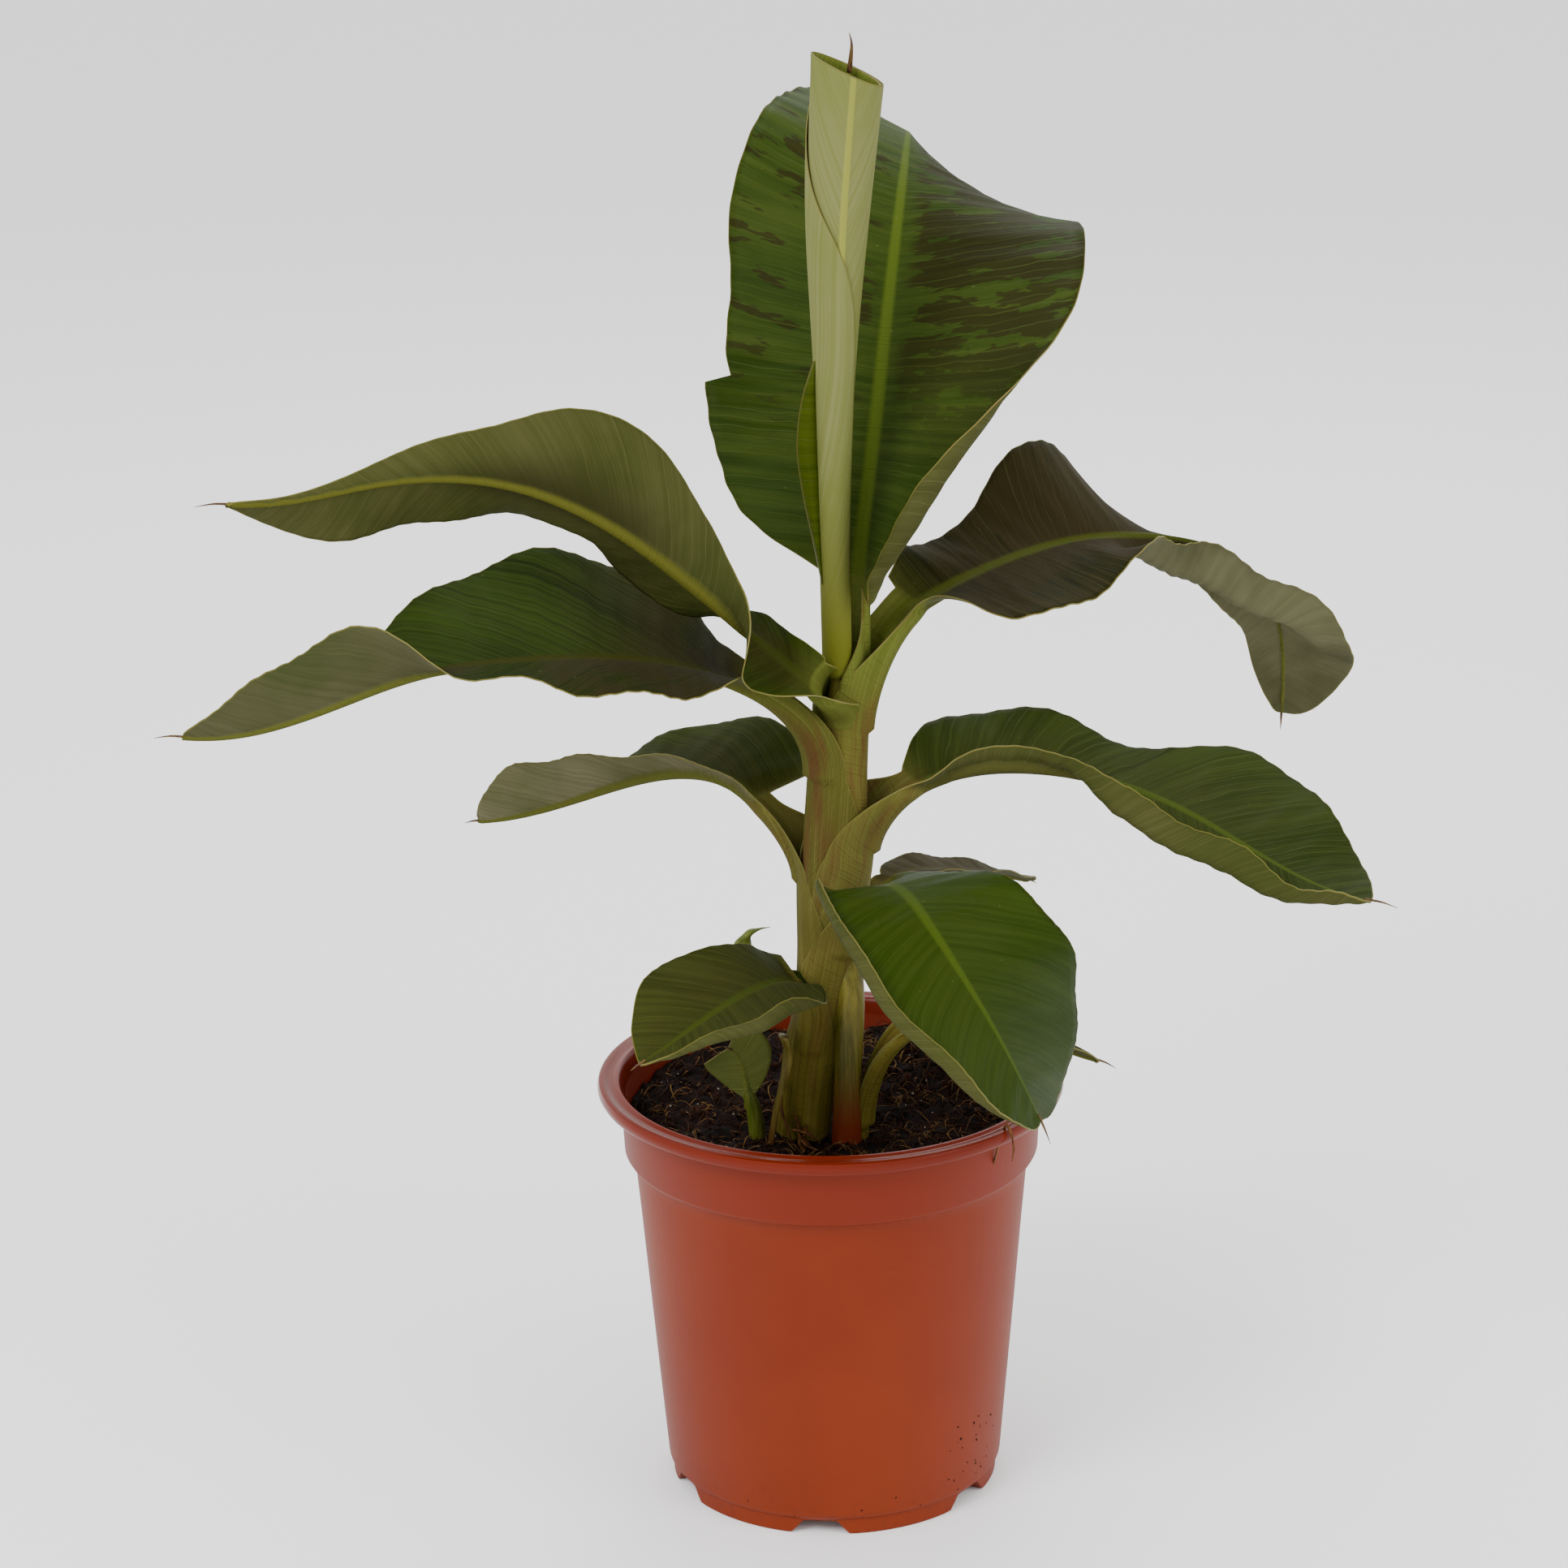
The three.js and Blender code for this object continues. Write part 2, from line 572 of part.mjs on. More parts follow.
const clearance = 1.5 * gap;
const potSolid = makePot();
const stemFat = makeStem(clearance);
const suckerStemFat = rod(sucker, clearance);
const drySheathFat = rod(drySheath, clearance);
addMesh('pot', potSolid, 0xa0482a, 0.55);
addMesh('soil', clearOf(makeSoil(), [stemFat, suckerStemFat, drySheathFat]), 0x2a1d14, 1);
addMesh('stem', makeStem(), 0x75803a);

const standing = [stemFat];
addMesh('sucker_stem', clearOf(rod(sucker), standing), sucker.colour);
standing.push(suckerStemFat);
addMesh('leaf_rolled', clearOf(makeRolledLeaf(), standing), rolledLeaf.colour);
standing.push(makeRolledLeaf(clearance));
addMesh('dry_sheath', clearOf(rod(drySheath), standing), drySheath.colour, 0.9);
standing.push(drySheathFat);
addMesh('sucker_spear', clearOf(rod(suckerSpear), standing), suckerSpear.colour);
standing.push(rod(suckerSpear, clearance));
for (const [name, leaf] of Object.entries({ ...leaves, ...suckerLeaves })) {
  addMesh(name, clearOf(frond(leaf), standing), leaf.colour);
  standing.push(frond(leaf, clearance));
}

export default group;
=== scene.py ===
# Young banana plant in a round terracotta nursery pot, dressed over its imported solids.
import math
import random
import bmesh
import bpy
import numpy as np
from mathutils import Matrix, Vector, noise


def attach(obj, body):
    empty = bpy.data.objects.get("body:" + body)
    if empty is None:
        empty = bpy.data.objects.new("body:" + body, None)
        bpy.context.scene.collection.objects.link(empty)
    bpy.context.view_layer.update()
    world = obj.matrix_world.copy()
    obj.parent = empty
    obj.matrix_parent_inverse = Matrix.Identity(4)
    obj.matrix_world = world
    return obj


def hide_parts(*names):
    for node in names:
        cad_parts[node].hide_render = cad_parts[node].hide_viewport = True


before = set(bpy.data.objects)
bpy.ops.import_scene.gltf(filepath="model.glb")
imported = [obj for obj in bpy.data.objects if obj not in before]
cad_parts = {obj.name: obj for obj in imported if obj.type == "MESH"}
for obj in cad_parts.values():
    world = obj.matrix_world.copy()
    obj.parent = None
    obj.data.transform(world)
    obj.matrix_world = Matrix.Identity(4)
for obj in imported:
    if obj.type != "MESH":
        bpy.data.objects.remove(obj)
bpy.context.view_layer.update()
mm = 0.001
print("frame loaded")


class Spec(dict):  # a piece's values, read as spec.name
    __getattr__ = dict.__getitem__


# shared ways of making a piece
def along(stations, u):  # smooth value at u (0 to 1) through evenly spaced stations
    v = np.asarray(stations, float)
    u = np.clip(np.asarray(u, float), 0, 1)
    last = len(v) - 1
    if last < 1:
        return np.full(u.shape, v[0])
    x = u * last
    i = np.minimum(x.astype(int), last - 1)
    f = x - i
    b, c = v[i], v[i + 1]
    a = np.where(i > 0, v[np.maximum(i - 1, 0)], 2 * b - c)
    d = np.where(i + 2 <= last, v[np.minimum(i + 2, last)], 2 * c - b)
    return 0.5 * (2 * b + (c - a) * f + (2 * a - 5 * b + 4 * c - d) * f ** 2
                  + (3 * b - a - 3 * c + d) * f ** 3)


def ease(x, low, high):
    u = np.clip((np.asarray(x, float) - low) / (high - low), 0, 1)
    return u * u * (3 - 2 * u)


def heading3(heading, pitch):  # direction of a heading and a climb in degrees
    h, p = np.radians(heading), np.radians(pitch)
    return np.stack([np.cos(p) * np.cos(h), np.cos(p) * np.sin(h), np.sin(p)], -1)


def unit(v):
    return v / np.maximum(np.linalg.norm(v, axis=-1, keepdims=True), 1e-9)


def gridMesh(points, values=()):  # a grid of faces laid through points[row, column], in mm
    rows, columns = points.shape[0] - 1, points.shape[1] - 1
    bm = bmesh.new()
    bm.loops.layers.uv.new("along")
    bm.verts.layers.deform.verify()
    for key in values:
        bm.verts.layers.float.new(key)
    bmesh.ops.create_grid(bm, x_segments=columns, y_segments=rows, size=1)
    index = {}
    for v in bm.verts:
        i, j = round((v.co.y + 1) / 2 * rows), round((v.co.x + 1) / 2 * columns)
        index[v] = (i, j)
        v.co = Vector(points[i, j]) * mm
    return bm, index


def weld(bm, distance=0.01):
    bmesh.ops.remove_doubles(bm, verts=bm.verts, dist=distance * mm)


def outward(bm):
    bmesh.ops.recalc_face_normals(bm, faces=bm.faces)


def openEdges(bm):
    return [e for e in bm.edges if e.is_boundary]


def settle(name, bm, materials, nodes=(), crease=None):  # crease: sharper edges stay hard
    mesh = bpy.data.meshes.new(name)
    for face in bm.faces:
        face.smooth = True
    if crease:
        for edge in bm.edges:
            edge.smooth = len(edge.link_faces) != 2 or edge.calc_face_angle(0) < math.radians(crease)
    bm.to_mesh(mesh)
    bm.free()
    piece = bpy.data.objects.new(name, mesh)
    bpy.context.scene.collection.objects.link(piece)
    for material in materials:
        mesh.materials.append(material)
    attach(piece, "root")
    if nodes:
        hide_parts(*nodes)
    return piece


def tube(bm, path, radii, sides, squash=1.0, count=14):  # closed tapered tube through path, in mm
    path = np.asarray(path, float)
    u = np.linspace(0, 1, count)
    centre = np.stack([along(path[:, k], u) for k in range(3)], -1)
    forward = unit(np.gradient(centre, axis=0))
    radius = along(radii, u)
    side = unit(np.cross(forward, [0.31, 0.2, 0.93]))
    up = np.cross(side, forward)
    rings = []
    for i in range(count):
        ring = bmesh.ops.create_circle(bm, segments=sides, radius=1)["verts"]
        for j, v in enumerate(ring):
            angle = 2 * math.pi * j / sides
            offset = side[i] * math.cos(angle) + up[i] * math.sin(angle) * squash
            v.co = Vector(centre[i] + radius[i] * offset) * mm
        rings.append(ring)
    for a, b in zip(rings, rings[1:]):
        for j in range(sides):
            k = (j + 1) % sides
            bm.faces.new((a[j], a[k], b[k], b[j]))
    bm.faces.new(list(reversed(rings[0])))
    bm.faces.new(rings[-1])


def settleTubes(name, tubes, skin, nodes=()):
    bm = bmesh.new()
    for values in tubes:
        tube(bm, *values)
    settle(name, bm, [skin], nodes)


# materials, with every colour given as the screen shows it
def paintFor(colour, light=2.6, depth=1.4):  # the paint that shows this colour in the studio's light
    linear = [((c / 255 + 0.055) / 1.055) ** 2.4 if c > 10 else c / 255 / 12.92 for c in colour]
    mean = sum(linear) / 3
    return tuple(c / light * (c / mean) ** (depth - 1) for c in linear) + (1,)


class Shader:
    def __init__(self, name, roughness, specular):
        self.material = bpy.data.materials.new(name)
        self.material.use_nodes = True
        self.tree = self.material.node_tree
        self.surface = self.tree.nodes["Principled BSDF"]
        self.feed(self.surface.inputs["Roughness"], roughness)
        self.feed(self.surface.inputs["Specular IOR Level"], specular)

    def feed(self, socket, value):
        if isinstance(value, bpy.types.NodeSocket):
            self.tree.links.new(value, socket)
        else:
            socket.default_value = value

    def add(self, kind, inputs=(), **settings):
        node = self.tree.nodes.new("ShaderNode" + kind)
        for key, value in settings.items():
            setattr(node, key, value)
        for key, value in dict(inputs).items():
            self.feed(node.inputs[key], value)
        return node

    def attribute(self, name):
        return self.add("Attribute", attribute_name=name).outputs["Fac"]

    def scaled(self, source, scale):
        return self.add("Mapping", {"Vector": source, "Scale": scale}).outputs["Vector"]

    def uv(self, along, across):
        return self.scaled(self.add("UVMap", uv_map="along").outputs["UV"], (along, across, 1))

    def local(self, scale=(1, 1, 1)):
        return self.scaled(self.add("TexCoord").outputs["Object"], scale)

    def noise(self, scale, detail=3.0, rough=0.5, vector=None):
        inputs = {"Vector": vector or self.local(), "Scale": scale, "Detail": detail, "Roughness": rough}
        return self.add("TexNoise", inputs).outputs["Fac"]

    def grain(self, along, across, detail=2.0, rough=0.5):
        return self.noise(1, detail, rough, self.uv(along, across))

    def part(self, vector, axis):
        return self.add("SeparateXYZ", {"Vector": vector}).outputs[axis]

    def height(self):  # position along the object's own Z, in metres
        return self.part(self.local(), 2)

    def ramp(self, value, low, high):  # 0 at low, 1 at high
        inputs = {"Value": value, "From Min": low, "From Max": high}
        node = self.add("MapRange", inputs, interpolation_type="SMOOTHSTEP")
        return node.outputs["Result"]

    def maths(self, kind, a, b=0.0):
        return self.add("Math", {0: a, 1: b}, operation=kind).outputs[0]

    def plus(self, a, b):
        return self.maths("ADD", a, b)

    def times(self, product, *values):
        for value in values:
            product = self.maths("MULTIPLY", product, value)
        return product

    def mix(self, factor, a, b):
        node = self.add("Mix", data_type="RGBA")
        for key, value in ((0, factor), (6, a), (7, b)):
            self.feed(node.inputs[key], paintFor(value) if isinstance(value, tuple) else value)
        return node.outputs[2]

    def cover(self, base, colour, *shares):  # colour laid over base by the product of the shares
        return self.mix(self.times(*shares), base, colour)

    def colour(self, value):
        self.feed(self.surface.inputs["Base Color"], value)

    def bump(self, value, distance, strength):
        inputs = {"Height": value, "Distance": distance, "Strength": strength}
        self.feed(self.surface.inputs["Normal"], self.add("Bump", inputs).outputs["Normal"])


# a leaf's tone where it says nothing itself; stalkTone and the like are heights in metres
plain = Spec(margin=(144, 140, 84), rib=(92, 112, 38), underRib=(110, 112, 60), underDark=(86, 88, 54),
             underLight=(100, 101, 66), underVein=(122, 122, 84), sheath=(122, 118, 70),
             stalk=(116, 124, 62), blush=0.3, gloss=0.4, shine=0.035, flush=0, flushEnd=0.95,
             flushColour=(66, 54, 34), blotch=0, relief=1)
# the stem's colours, with a dark colour for painted shade on the lower stem
sheaths = Spec(foot=(142, 132, 64), streak=(156, 154, 100), shade=(76, 67, 24), blush=(112, 78, 58),
               sheathTone=(0.2, 0.33), stalkTone=(0.34, 0.46), shadeTone=(0.4, 0.24), blushTone=(0.44, 0.4))
ends = Spec(stalk=(0.9, 1.06), edge=(0.0002, 0.0007))  # in reach, and in metres from the leaf's edge


def stalkColour(s, tone):  # olive green with fine lengthwise streaks, yellower towards the stem's foot
    streak, wide, patch = (s.grain(*size, 3, 0.6) for size in ((10, 1700), (14, 110), (9, 620)))
    z = s.height()
    base = s.mix(s.ramp(z, *sheaths.sheathTone), sheaths.foot, tone.sheath)
    base = s.mix(s.ramp(z, *sheaths.stalkTone), base, tone.stalk)
    base = s.cover(base, sheaths.streak, s.ramp(streak, 0.45, 0.7), 0.5)
    # painted shade: darker patches that grow towards the stem's foot
    paintedShadePatch = s.ramp(patch, 0.47, 0.62)
    base = s.cover(base, sheaths.shade, paintedShadePatch, s.ramp(z, *sheaths.shadeTone), 0.4)
    blush = s.ramp(wide, 0.5 - 0.12 * tone.blush, 0.66)
    return s.cover(base, sheaths.blush, blush, s.ramp(z, *sheaths.blushTone), tone.blush)


def veins(s):  # finer streaks, broad soft bands, thin pale lines about 4 mm apart, and their relief
    wander = s.grain(26, 30)
    place = s.part(s.uv(240, 1), 0)
    saw = s.maths("PINGPONG", s.plus(place, s.times(wander, 1.6)), 0.5)
    strength = s.grain(190, 5)
    line = s.times(s.ramp(saw, 0.12, 0.02), s.ramp(strength, 0.35, 0.7))
    fine = s.grain(1900, 14, 2, 0.6)
    bands = s.grain(210, 7)
    return fine, bands, line, s.plus(fine, s.plus(bands, line))


def finish(s, tone, base, *relief):
    s.colour(s.mix(s.ramp(s.attribute("edge"), *ends.edge), tone.margin, base))
    s.bump(*relief)
    return s.material


def upperFace(name, tone):
    s = Shader(name, tone.gloss + 0.12, tone.shine)
    fine, bands, line, relief = veins(s)
    share, reach = s.attribute("share"), s.attribute("reach")
    aside = s.maths("ABSOLUTE", share)
    cloud = s.noise(14, 3, 0.55)
    light = s.ramp(s.plus(bands, s.times(cloud, 0.6)), 0.55, 1.05)
    base = s.mix(light, tone.dark, tone.light)
    base = s.cover(base, tone.vein, s.ramp(fine, 0.5, 0.75), 0.3)
    if tone.flush:
        if "flushLeft" in tone:
            near = s.maths("MAXIMUM", s.ramp(share, 0.12, -0.1), s.ramp(reach, 1.38, 1.1))
        else:
            near = s.ramp(aside, tone.flushEnd, tone.flushEnd - 0.45)
        patch = s.ramp(s.plus(cloud, s.times(bands, 0.4)), 0.5, 0.8)
        base = s.cover(base, tone.flushColour, patch, near, tone.flush)
    if tone.blotch:
        spot = s.plus(s.grain(120, 30, 3, 0.62), s.times(s.ramp(share, -0.2, 0.5), 0.13))
        band = s.times(s.ramp(aside, 0.12, 0.26), s.ramp(reach, 1.12, 1.4))
        base = s.cover(base, tone.blotchColour, s.ramp(spot, 0.56, 0.6), band, tone.blotch)
    base = s.cover(base, tone.vein, line, 0.55)
    base = s.mix(s.ramp(s.attribute("rib"), 0.4, 1.25), tone.rib, base)
    base = s.mix(s.ramp(reach, *ends.stalk), stalkColour(s, tone), base)
    if "scuff" in tone:  # a pale scratch across the blade's foot
        place = s.times(s.ramp(reach, 1.01, 1.02), s.ramp(reach, 1.1, 1.07), s.ramp(share, 0.45, 0.7))
        base = s.cover(base, tone.scuff, place, s.ramp(fine, 0.35, 0.6))
    specks = s.noise(420, 2, 0.6)
    base = s.cover(base, (150, 150, 110), s.ramp(specks, 0.74, 0.78), 0.5)
    return finish(s, tone, base, relief, 0.0007, 0.45)


def underFace(name, tone):
    s = Shader(name, 0.7, 0.04)
    fine, bands, line, relief = veins(s)
    reach = s.attribute("reach")
    cloud = s.noise(16, 3, 0.5)
    base = s.cover(tone.underDark, tone.underLight, s.ramp(bands, 0.3, 0.75), 0.7)
    base = s.cover(base, tone.underVein, s.ramp(fine, 0.45, 0.75), 0.2)
    base = s.cover(base, tone.light, s.ramp(cloud, 0.4, 0.7), 0.55)
    base = s.cover(base, tone.underVein, line, 0.5)
    if "shade" in tone:  # painted shade: a darker patch along the midrib's middle
        aside = s.maths("ABSOLUTE", s.attribute("share"))
        patch = s.times(s.ramp(reach, 1.25, 1.42), s.ramp(reach, 1.75, 1.55), s.ramp(aside, 0.8, 0.2))
        base = s.cover(base, tone.shade, patch, 0.75)
    if "footTone" in tone:
        base = s.mix(s.ramp(reach, 1.02, 1.4), tone.footTone, base)
    base = s.mix(s.ramp(s.attribute("rib"), 0.6, 1.3), tone.underRib, base)
    base = s.mix(s.ramp(reach, *ends.stalk), stalkColour(s, tone), base)
    return finish(s, tone, base, relief, 0.0008, 0.5 * tone.relief)


def rimFace(name):
    s = Shader(name, 0.6, 0.3)
    streak = s.grain(260, 90)
    s.colour(s.mix(s.ramp(streak, 0.45, 0.7), plain.margin, (150, 132, 76)))
    return s.material


rimSkin = rimFace("leaf margin")


# a blade as a thin wall. It knows edge (metres from the edge), rib (1 at the midrib's side), reach
# (0 to 1 over the stalk, 1 to 2 over the blade) and share (-1 left, 1 right) at each point.
knows = ("edge", "rib", "reach", "share")


def sheet(points, place, values):  # place gives the UV in mm, values what is known and the wall's weight
    bm, index = gridMesh(points, knows)
    layers = [bm.verts.layers.float[key] for key in knows]
    deform = bm.verts.layers.deform.active
    uvLayer = bm.loops.layers.uv["along"]
    for v, cell in index.items():
        *known, weight = values(*cell)
        for layer, value in zip(layers, known):
            v[layer] = value
        if weight is not None:
            v[deform][0] = weight
    for face in bm.faces:
        for loop in face.loops:
            lengthwise, across = place(*index[loop.vert])
            loop[uvLayer].uv = (lengthwise * mm, across * mm)
    return bm, index


def faceUp(bm, index, points, row, column, upward=None):  # turns the faces to the blade's upper side
    bm.faces.ensure_lookup_table()
    face = next(f for f in bm.faces if all(
        index[v][0] in (row, row + 1) and index[v][1] in (column, column + 1) for v in f.verts))
    face.normal_update()
    if upward is None:
        corner = points[row + 1, column]
        upward = np.cross(points[row + 1, column + 1] - corner, corner - points[row, column])
    if face.normal.dot(Vector(upward)) < 0:
        bmesh.ops.reverse_faces(bm, faces=bm.faces)


def settleBlade(name, bm, tone, nodes, thickness, thin=None):
    tone = Spec(plain, **tone)
    skins = [upperFace(name + " upper face", tone), underFace(name + " underside", tone), rimSkin]
    piece = settle(name, bm, skins, nodes)
    wall = piece.modifiers.new("thickness", "SOLIDIFY")
    wall.thickness = thickness * mm
    wall.offset = -1
    wall.material_offset = 1
    wall.material_offset_rim = 2
    if thin:  # the thinnest the wall gets, as a share of its thickness
        wall.vertex_group = piece.vertex_groups.new(name="body").name
        wall.thickness_vertex_group = thin


# the stem's lean and taper, which every sheath follows
stem = Spec(foot=186, top=440, x=[-16, -10, -1.5, 3.5, 6, 9], y=[-12, -10, -7, -4, -2, 0],
            radius=[16.5, 14.2, 16, 18, 14, 10.5])


def stemAt(z):  # axis and radius at height z
    u = (np.asarray(z, float) - stem.foot) / (stem.top - stem.foot)
    return along(stem.x, u), along(stem.y, u), along(stem.radius, u)


# leaves, from the youngest down, in mm and degrees. heading (0 = right, 90 = away), pitch and roll
# are the midrib's bearing, climb and twist at even steps over the blade. A half is its greatest
# width, percents of it at even steps (or where it is widest, and a bluntness), how it lifts and
# curls, and where and how far it folds; both is two equal halves. sheath, channel and wrap are the
# foot's length, half width and angles, open is where it flattens, sweep how far the edge runs
# ahead, nick a step in one half's edge.
leaves = {}
leaves["upright"] = Spec(
    node="leaf_upright", letGo=440, bearing=48, sheath=80, channel=9, wrap=([150], [150]), open=(-10, 25),
    foot=(18, 14, 484), blade=335, heading=[48, 58, 68, 76, 82, 85, 86],
    pitch=[78, 76, 70, 52, 21, -12, -40], roll=[0, 0, 0, 8, 26, 36],
    left=(80, [22, 82, 106, 108, 104, 108, 100, 88, 76, 54, 22], [25, 12, 5, 0, 0], [0, -10, 0, 0, 0]),
    right=(98, [36, 72, 90, 98, 100, 97, 92, 84, 70, 45, 15], [25, 15, 5, -8, -22, -30],
           [60, 30, -10, -25, -30], (0.86, [70, 120, 60, 0, 0, 0, 0, 0])),
    wave=6, waves=3.4, tail=14, nick=("left", 0.29, 0.13, 0.08), ribWidth=5.2,
    sweep={"left": [-0.12, -0.12, 0.1, 0.28, 0.45]},
    tone=Spec(margin=(120, 114, 62), rib=(100, 114, 50), dark=(52, 67, 24), light=(76, 88, 40),
              vein=(90, 102, 54), blotch=0.7, blotchColour=(50, 42, 24)))
leaves["upperRight"] = Spec(
    node="leaf_upper_right", letGo=405, bearing=35, sheath=80, channel=15,
    wrap=([130], [180, 180, 180, 172]), open=(0, 60), foot=(52, 28, 465), blade=366,
    heading=[37, 38, 38, 38, 40, 44, 54, 70, 94], pitch=[15, 8, -1, -8, -17, -30, -46, -65, -82],
    left=(72, [30, 50, 54, 88, 93, 66, 45, 36, 30, 24, 12],
          [60, 22, 22, 40, 24, -8, -35, -45, -35, -10, 0], [0, 0, 10, 0, 0, 0, 0]),
    right=(56, [30, 98, 98, 80, 72, 80, 92, 90, 78, 68, 42],
           [0, -8, -12, 0, -40, -72, -72, -62, -30, 5, 0], [0],
           (0.54, [0, 0, 0, 0, 110, 168, 168, 150, 70, 10, 0])),
    wave=3, waves=5, tail=10, lean=0.3,
    tone=Spec(shine=0.015, blush=0.8, sheath=(128, 116, 68), margin=(150, 144, 92),
              underDark=(116, 116, 92), underLight=(132, 131, 106), rib=(92, 98, 44), dark=(36, 40, 18),
              light=(58, 60, 32), vein=(98, 95, 66), flushEnd=1.3, flush=0.85, flushColour=(68, 61, 40)))
leaves["upperLeft"] = Spec(
    node="leaf_upper_left", letGo=412, bearing=225, sheath=80, channel=15, wrap=([110], [140]),
    open=(0, 40), inset=2, foot=(-10, -30, 441), blade=325, heading=[200, 198, 194, 187, 181, 178, 178],
    pitch=[46, 43, 40, 26, 3, -12, 3], roll=[-35, -30, 50, 65, 68, 68, 65, 62, 60, 55, 50],
    left=(52, [35, 48, 36, 62, 90, 89, 50, 33, 14, 6, 4], [-20, -30, -10, 0, 0, 0, 0, 0, 0, 10, 10],
          [0, 15, 25, 40, 60, 80, 80]),
    right=(50, [35, 50, 56, 92, 64, 72, 66, 64, 60, 42, 10], [0, 0, 35, 42, 36, 15, 0, -8, 0], [0]),
    wave=2, waves=5, tail=16, lean=0.6, sweep={"left": [0, 0.3, 0.45], "right": [-0.1, 0.1, 0.4]},
    # the shade colour is painted shade for a darker patch along the underside's midrib
    tone=Spec(gloss=0.42, shine=0.015, shade=(52, 51, 28), underRib=(108, 108, 52), rib=(64, 70, 30),
              dark=(42, 50, 18), light=(60, 70, 28), vein=(80, 84, 44), flush=0.4,
              flushColour=(60, 46, 30)))
leaves["midLeft"] = Spec(
    node="leaf_mid_left", letGo=385, bearing=215, sheath=80, channel=12.5,
    wrap=([140, 125, 103, 70], [150]), open=(-14, 50), foot=(-42, -31, 441), blade=288,
    heading=[206, 198, 193, 187, 183, 180, 180], pitch=[30, 14, 4, -4, -20, -16, 6],
    left=(58, [24, 50, 74, 74, 34, 34, 58, 62, 46, 33, 10],
          [10, -8, -10, -6, -14, -6, 52, 70, 74, 72, 70], [0, 0, 0, 20, 20, 0]),
    right=(66, [30, 74, 102, 110, 110, 90, 66, 48, 40, 30, 10], [20, 28, 28, 20, 15, 15], [0]),
    wave=3, waves=5, tail=14, lean=1.3, sweep={"left": [0.15, 0.1, 0.45]},
    tone=Spec(shine=0.015, blush=0.7, stalk=(108, 112, 58), sheath=(108, 104, 58), underDark=(96, 96, 72),
              underLight=(113, 111, 88), rib=(64, 66, 30), dark=(40, 50, 18), light=(62, 76, 30),
              vein=(88, 90, 54), flushEnd=0.85, flush=0.85, flushColour=(62, 55, 40), flushLeft=True))
leaves["lowLeft"] = Spec(
    node="leaf_low_left", letGo=325, bearing=146, sheath=90, channel=8.5,
    wrap=([150, 140, 118, 85], [160]), open=(-25, 45), foot=(-38, 15, 368), blade=165,
    heading=[147, 149, 152, 154, 157, 160, 162], pitch=[34, 1, -16, -23, -23, -18, -8],
    left=(32, [30, 30, 32, 38, 48, 56, 74, 84, 78, 60, 20], [30, 50, 62, 70, 72, 66],
          [0, 0, 20, 30, 30, 20]),
    right=(42, [90, 115, 125, 125, 112, 100, 75, 60, 50, 38, 15], [20, 15, 12, 10, 10], [0]),
    wave=2, waves=4, tail=8, lean=1.5,
    tone=Spec(gloss=0.42, shine=0.015, stalk=(116, 119, 66), underDark=(126, 123, 100),
              underLight=(150, 147, 122), rib=(84, 92, 44), dark=(54, 63, 26), light=(74, 82, 38),
              vein=(96, 100, 60), flush=0.3, flushColour=(66, 52, 34)))
leaves["midRight"] = Spec(
    node="leaf_mid_right", letGo=342, bearing=10, sheath=90, channel=12.5,
    wrap=([160], [165, 158, 145, 126]), open=(-10, 45), foot=(49, 3, 376), blade=242,
    heading=[10, 1, -8, -15, -20, -22, -22], pitch=[21, 0, -11, -21, -28, -23, -4],
    left=(60, [25, 62, 70, 74, 72, 78, 106, 103, 78, 56, 15], [34, 26, 12, 22, 18, 8], [0]),
    right=(50, [26, 25, 24, 38, 74, 94, 96, 86, 72, 46, 12],
           [10, 50, 60, 30, -18, -22, -22, -20, -18, -14, -10], [0],
           (0.66, [0, 20, 30, 60, 120, 140, 140, 140, 120, 110, 80])),
    wave=3, waves=4, tail=14, lean=0.5,
    tone=Spec(gloss=0.36, blush=0.5, scuff=(168, 168, 150), underRib=(92, 92, 54), rib=(82, 94, 38),
              dark=(48, 58, 20), light=(68, 78, 36), vein=(92, 100, 54), flush=0.15))
leaves["frontRight"] = Spec(
    node="leaf_front_right", letGo=294, bearing=-62, sheath=90, channel=8,
    wrap=([120], [140, 125, 100, 76]), open=(-20, 35), foot=(18, -48, 335), blade=187,
    heading=[-66, -70, -68, -52, -34, -23, -13], pitch=[43, 11, -17, -40, -54, -62, -66],
    left=(64, [40, 50, 68, 88, 104, 118, 134, 138, 118, 90, 42], [10, 5, 0, 0, 0],
          [0, -10, -10, -10, 0]),
    right=(66, [34, 56, 69, 74, 82, 87, 91, 88, 70, 47, 16], [10, -4, -14, -14, -6], [0, -10, 10, 20, 0],
           (0.87, [150, 150, 150, 145, 130, 90, 40])),
    wave=2, waves=4, tail=12, lean=0.35,
    tone=Spec(gloss=0.36, rib=(84, 98, 38), dark=(50, 66, 12), light=(66, 80, 28), vein=(78, 90, 38),
              flush=0.1))
leaves["back"] = Spec(
    node="leaf_back", letGo=280, bearing=60, sheath=80, channel=8, wrap=([140], [140]),
    foot=(34, 44, 309), blade=120, heading=[54, 49, 47, 46, 44, 43, 42],
    pitch=[10, -8, -15, -17, -19, -22, -24],
    left=(20, (0.45, 0.6), [10], [0]),
    right=(26, (0.45, 0.6), [10], [0]),
    wave=1, waves=3, tail=8,
    tone=Spec(shine=0.015, rib=(96, 92, 56), dark=(74, 70, 46), light=(94, 89, 62), vein=(112, 106, 80)))
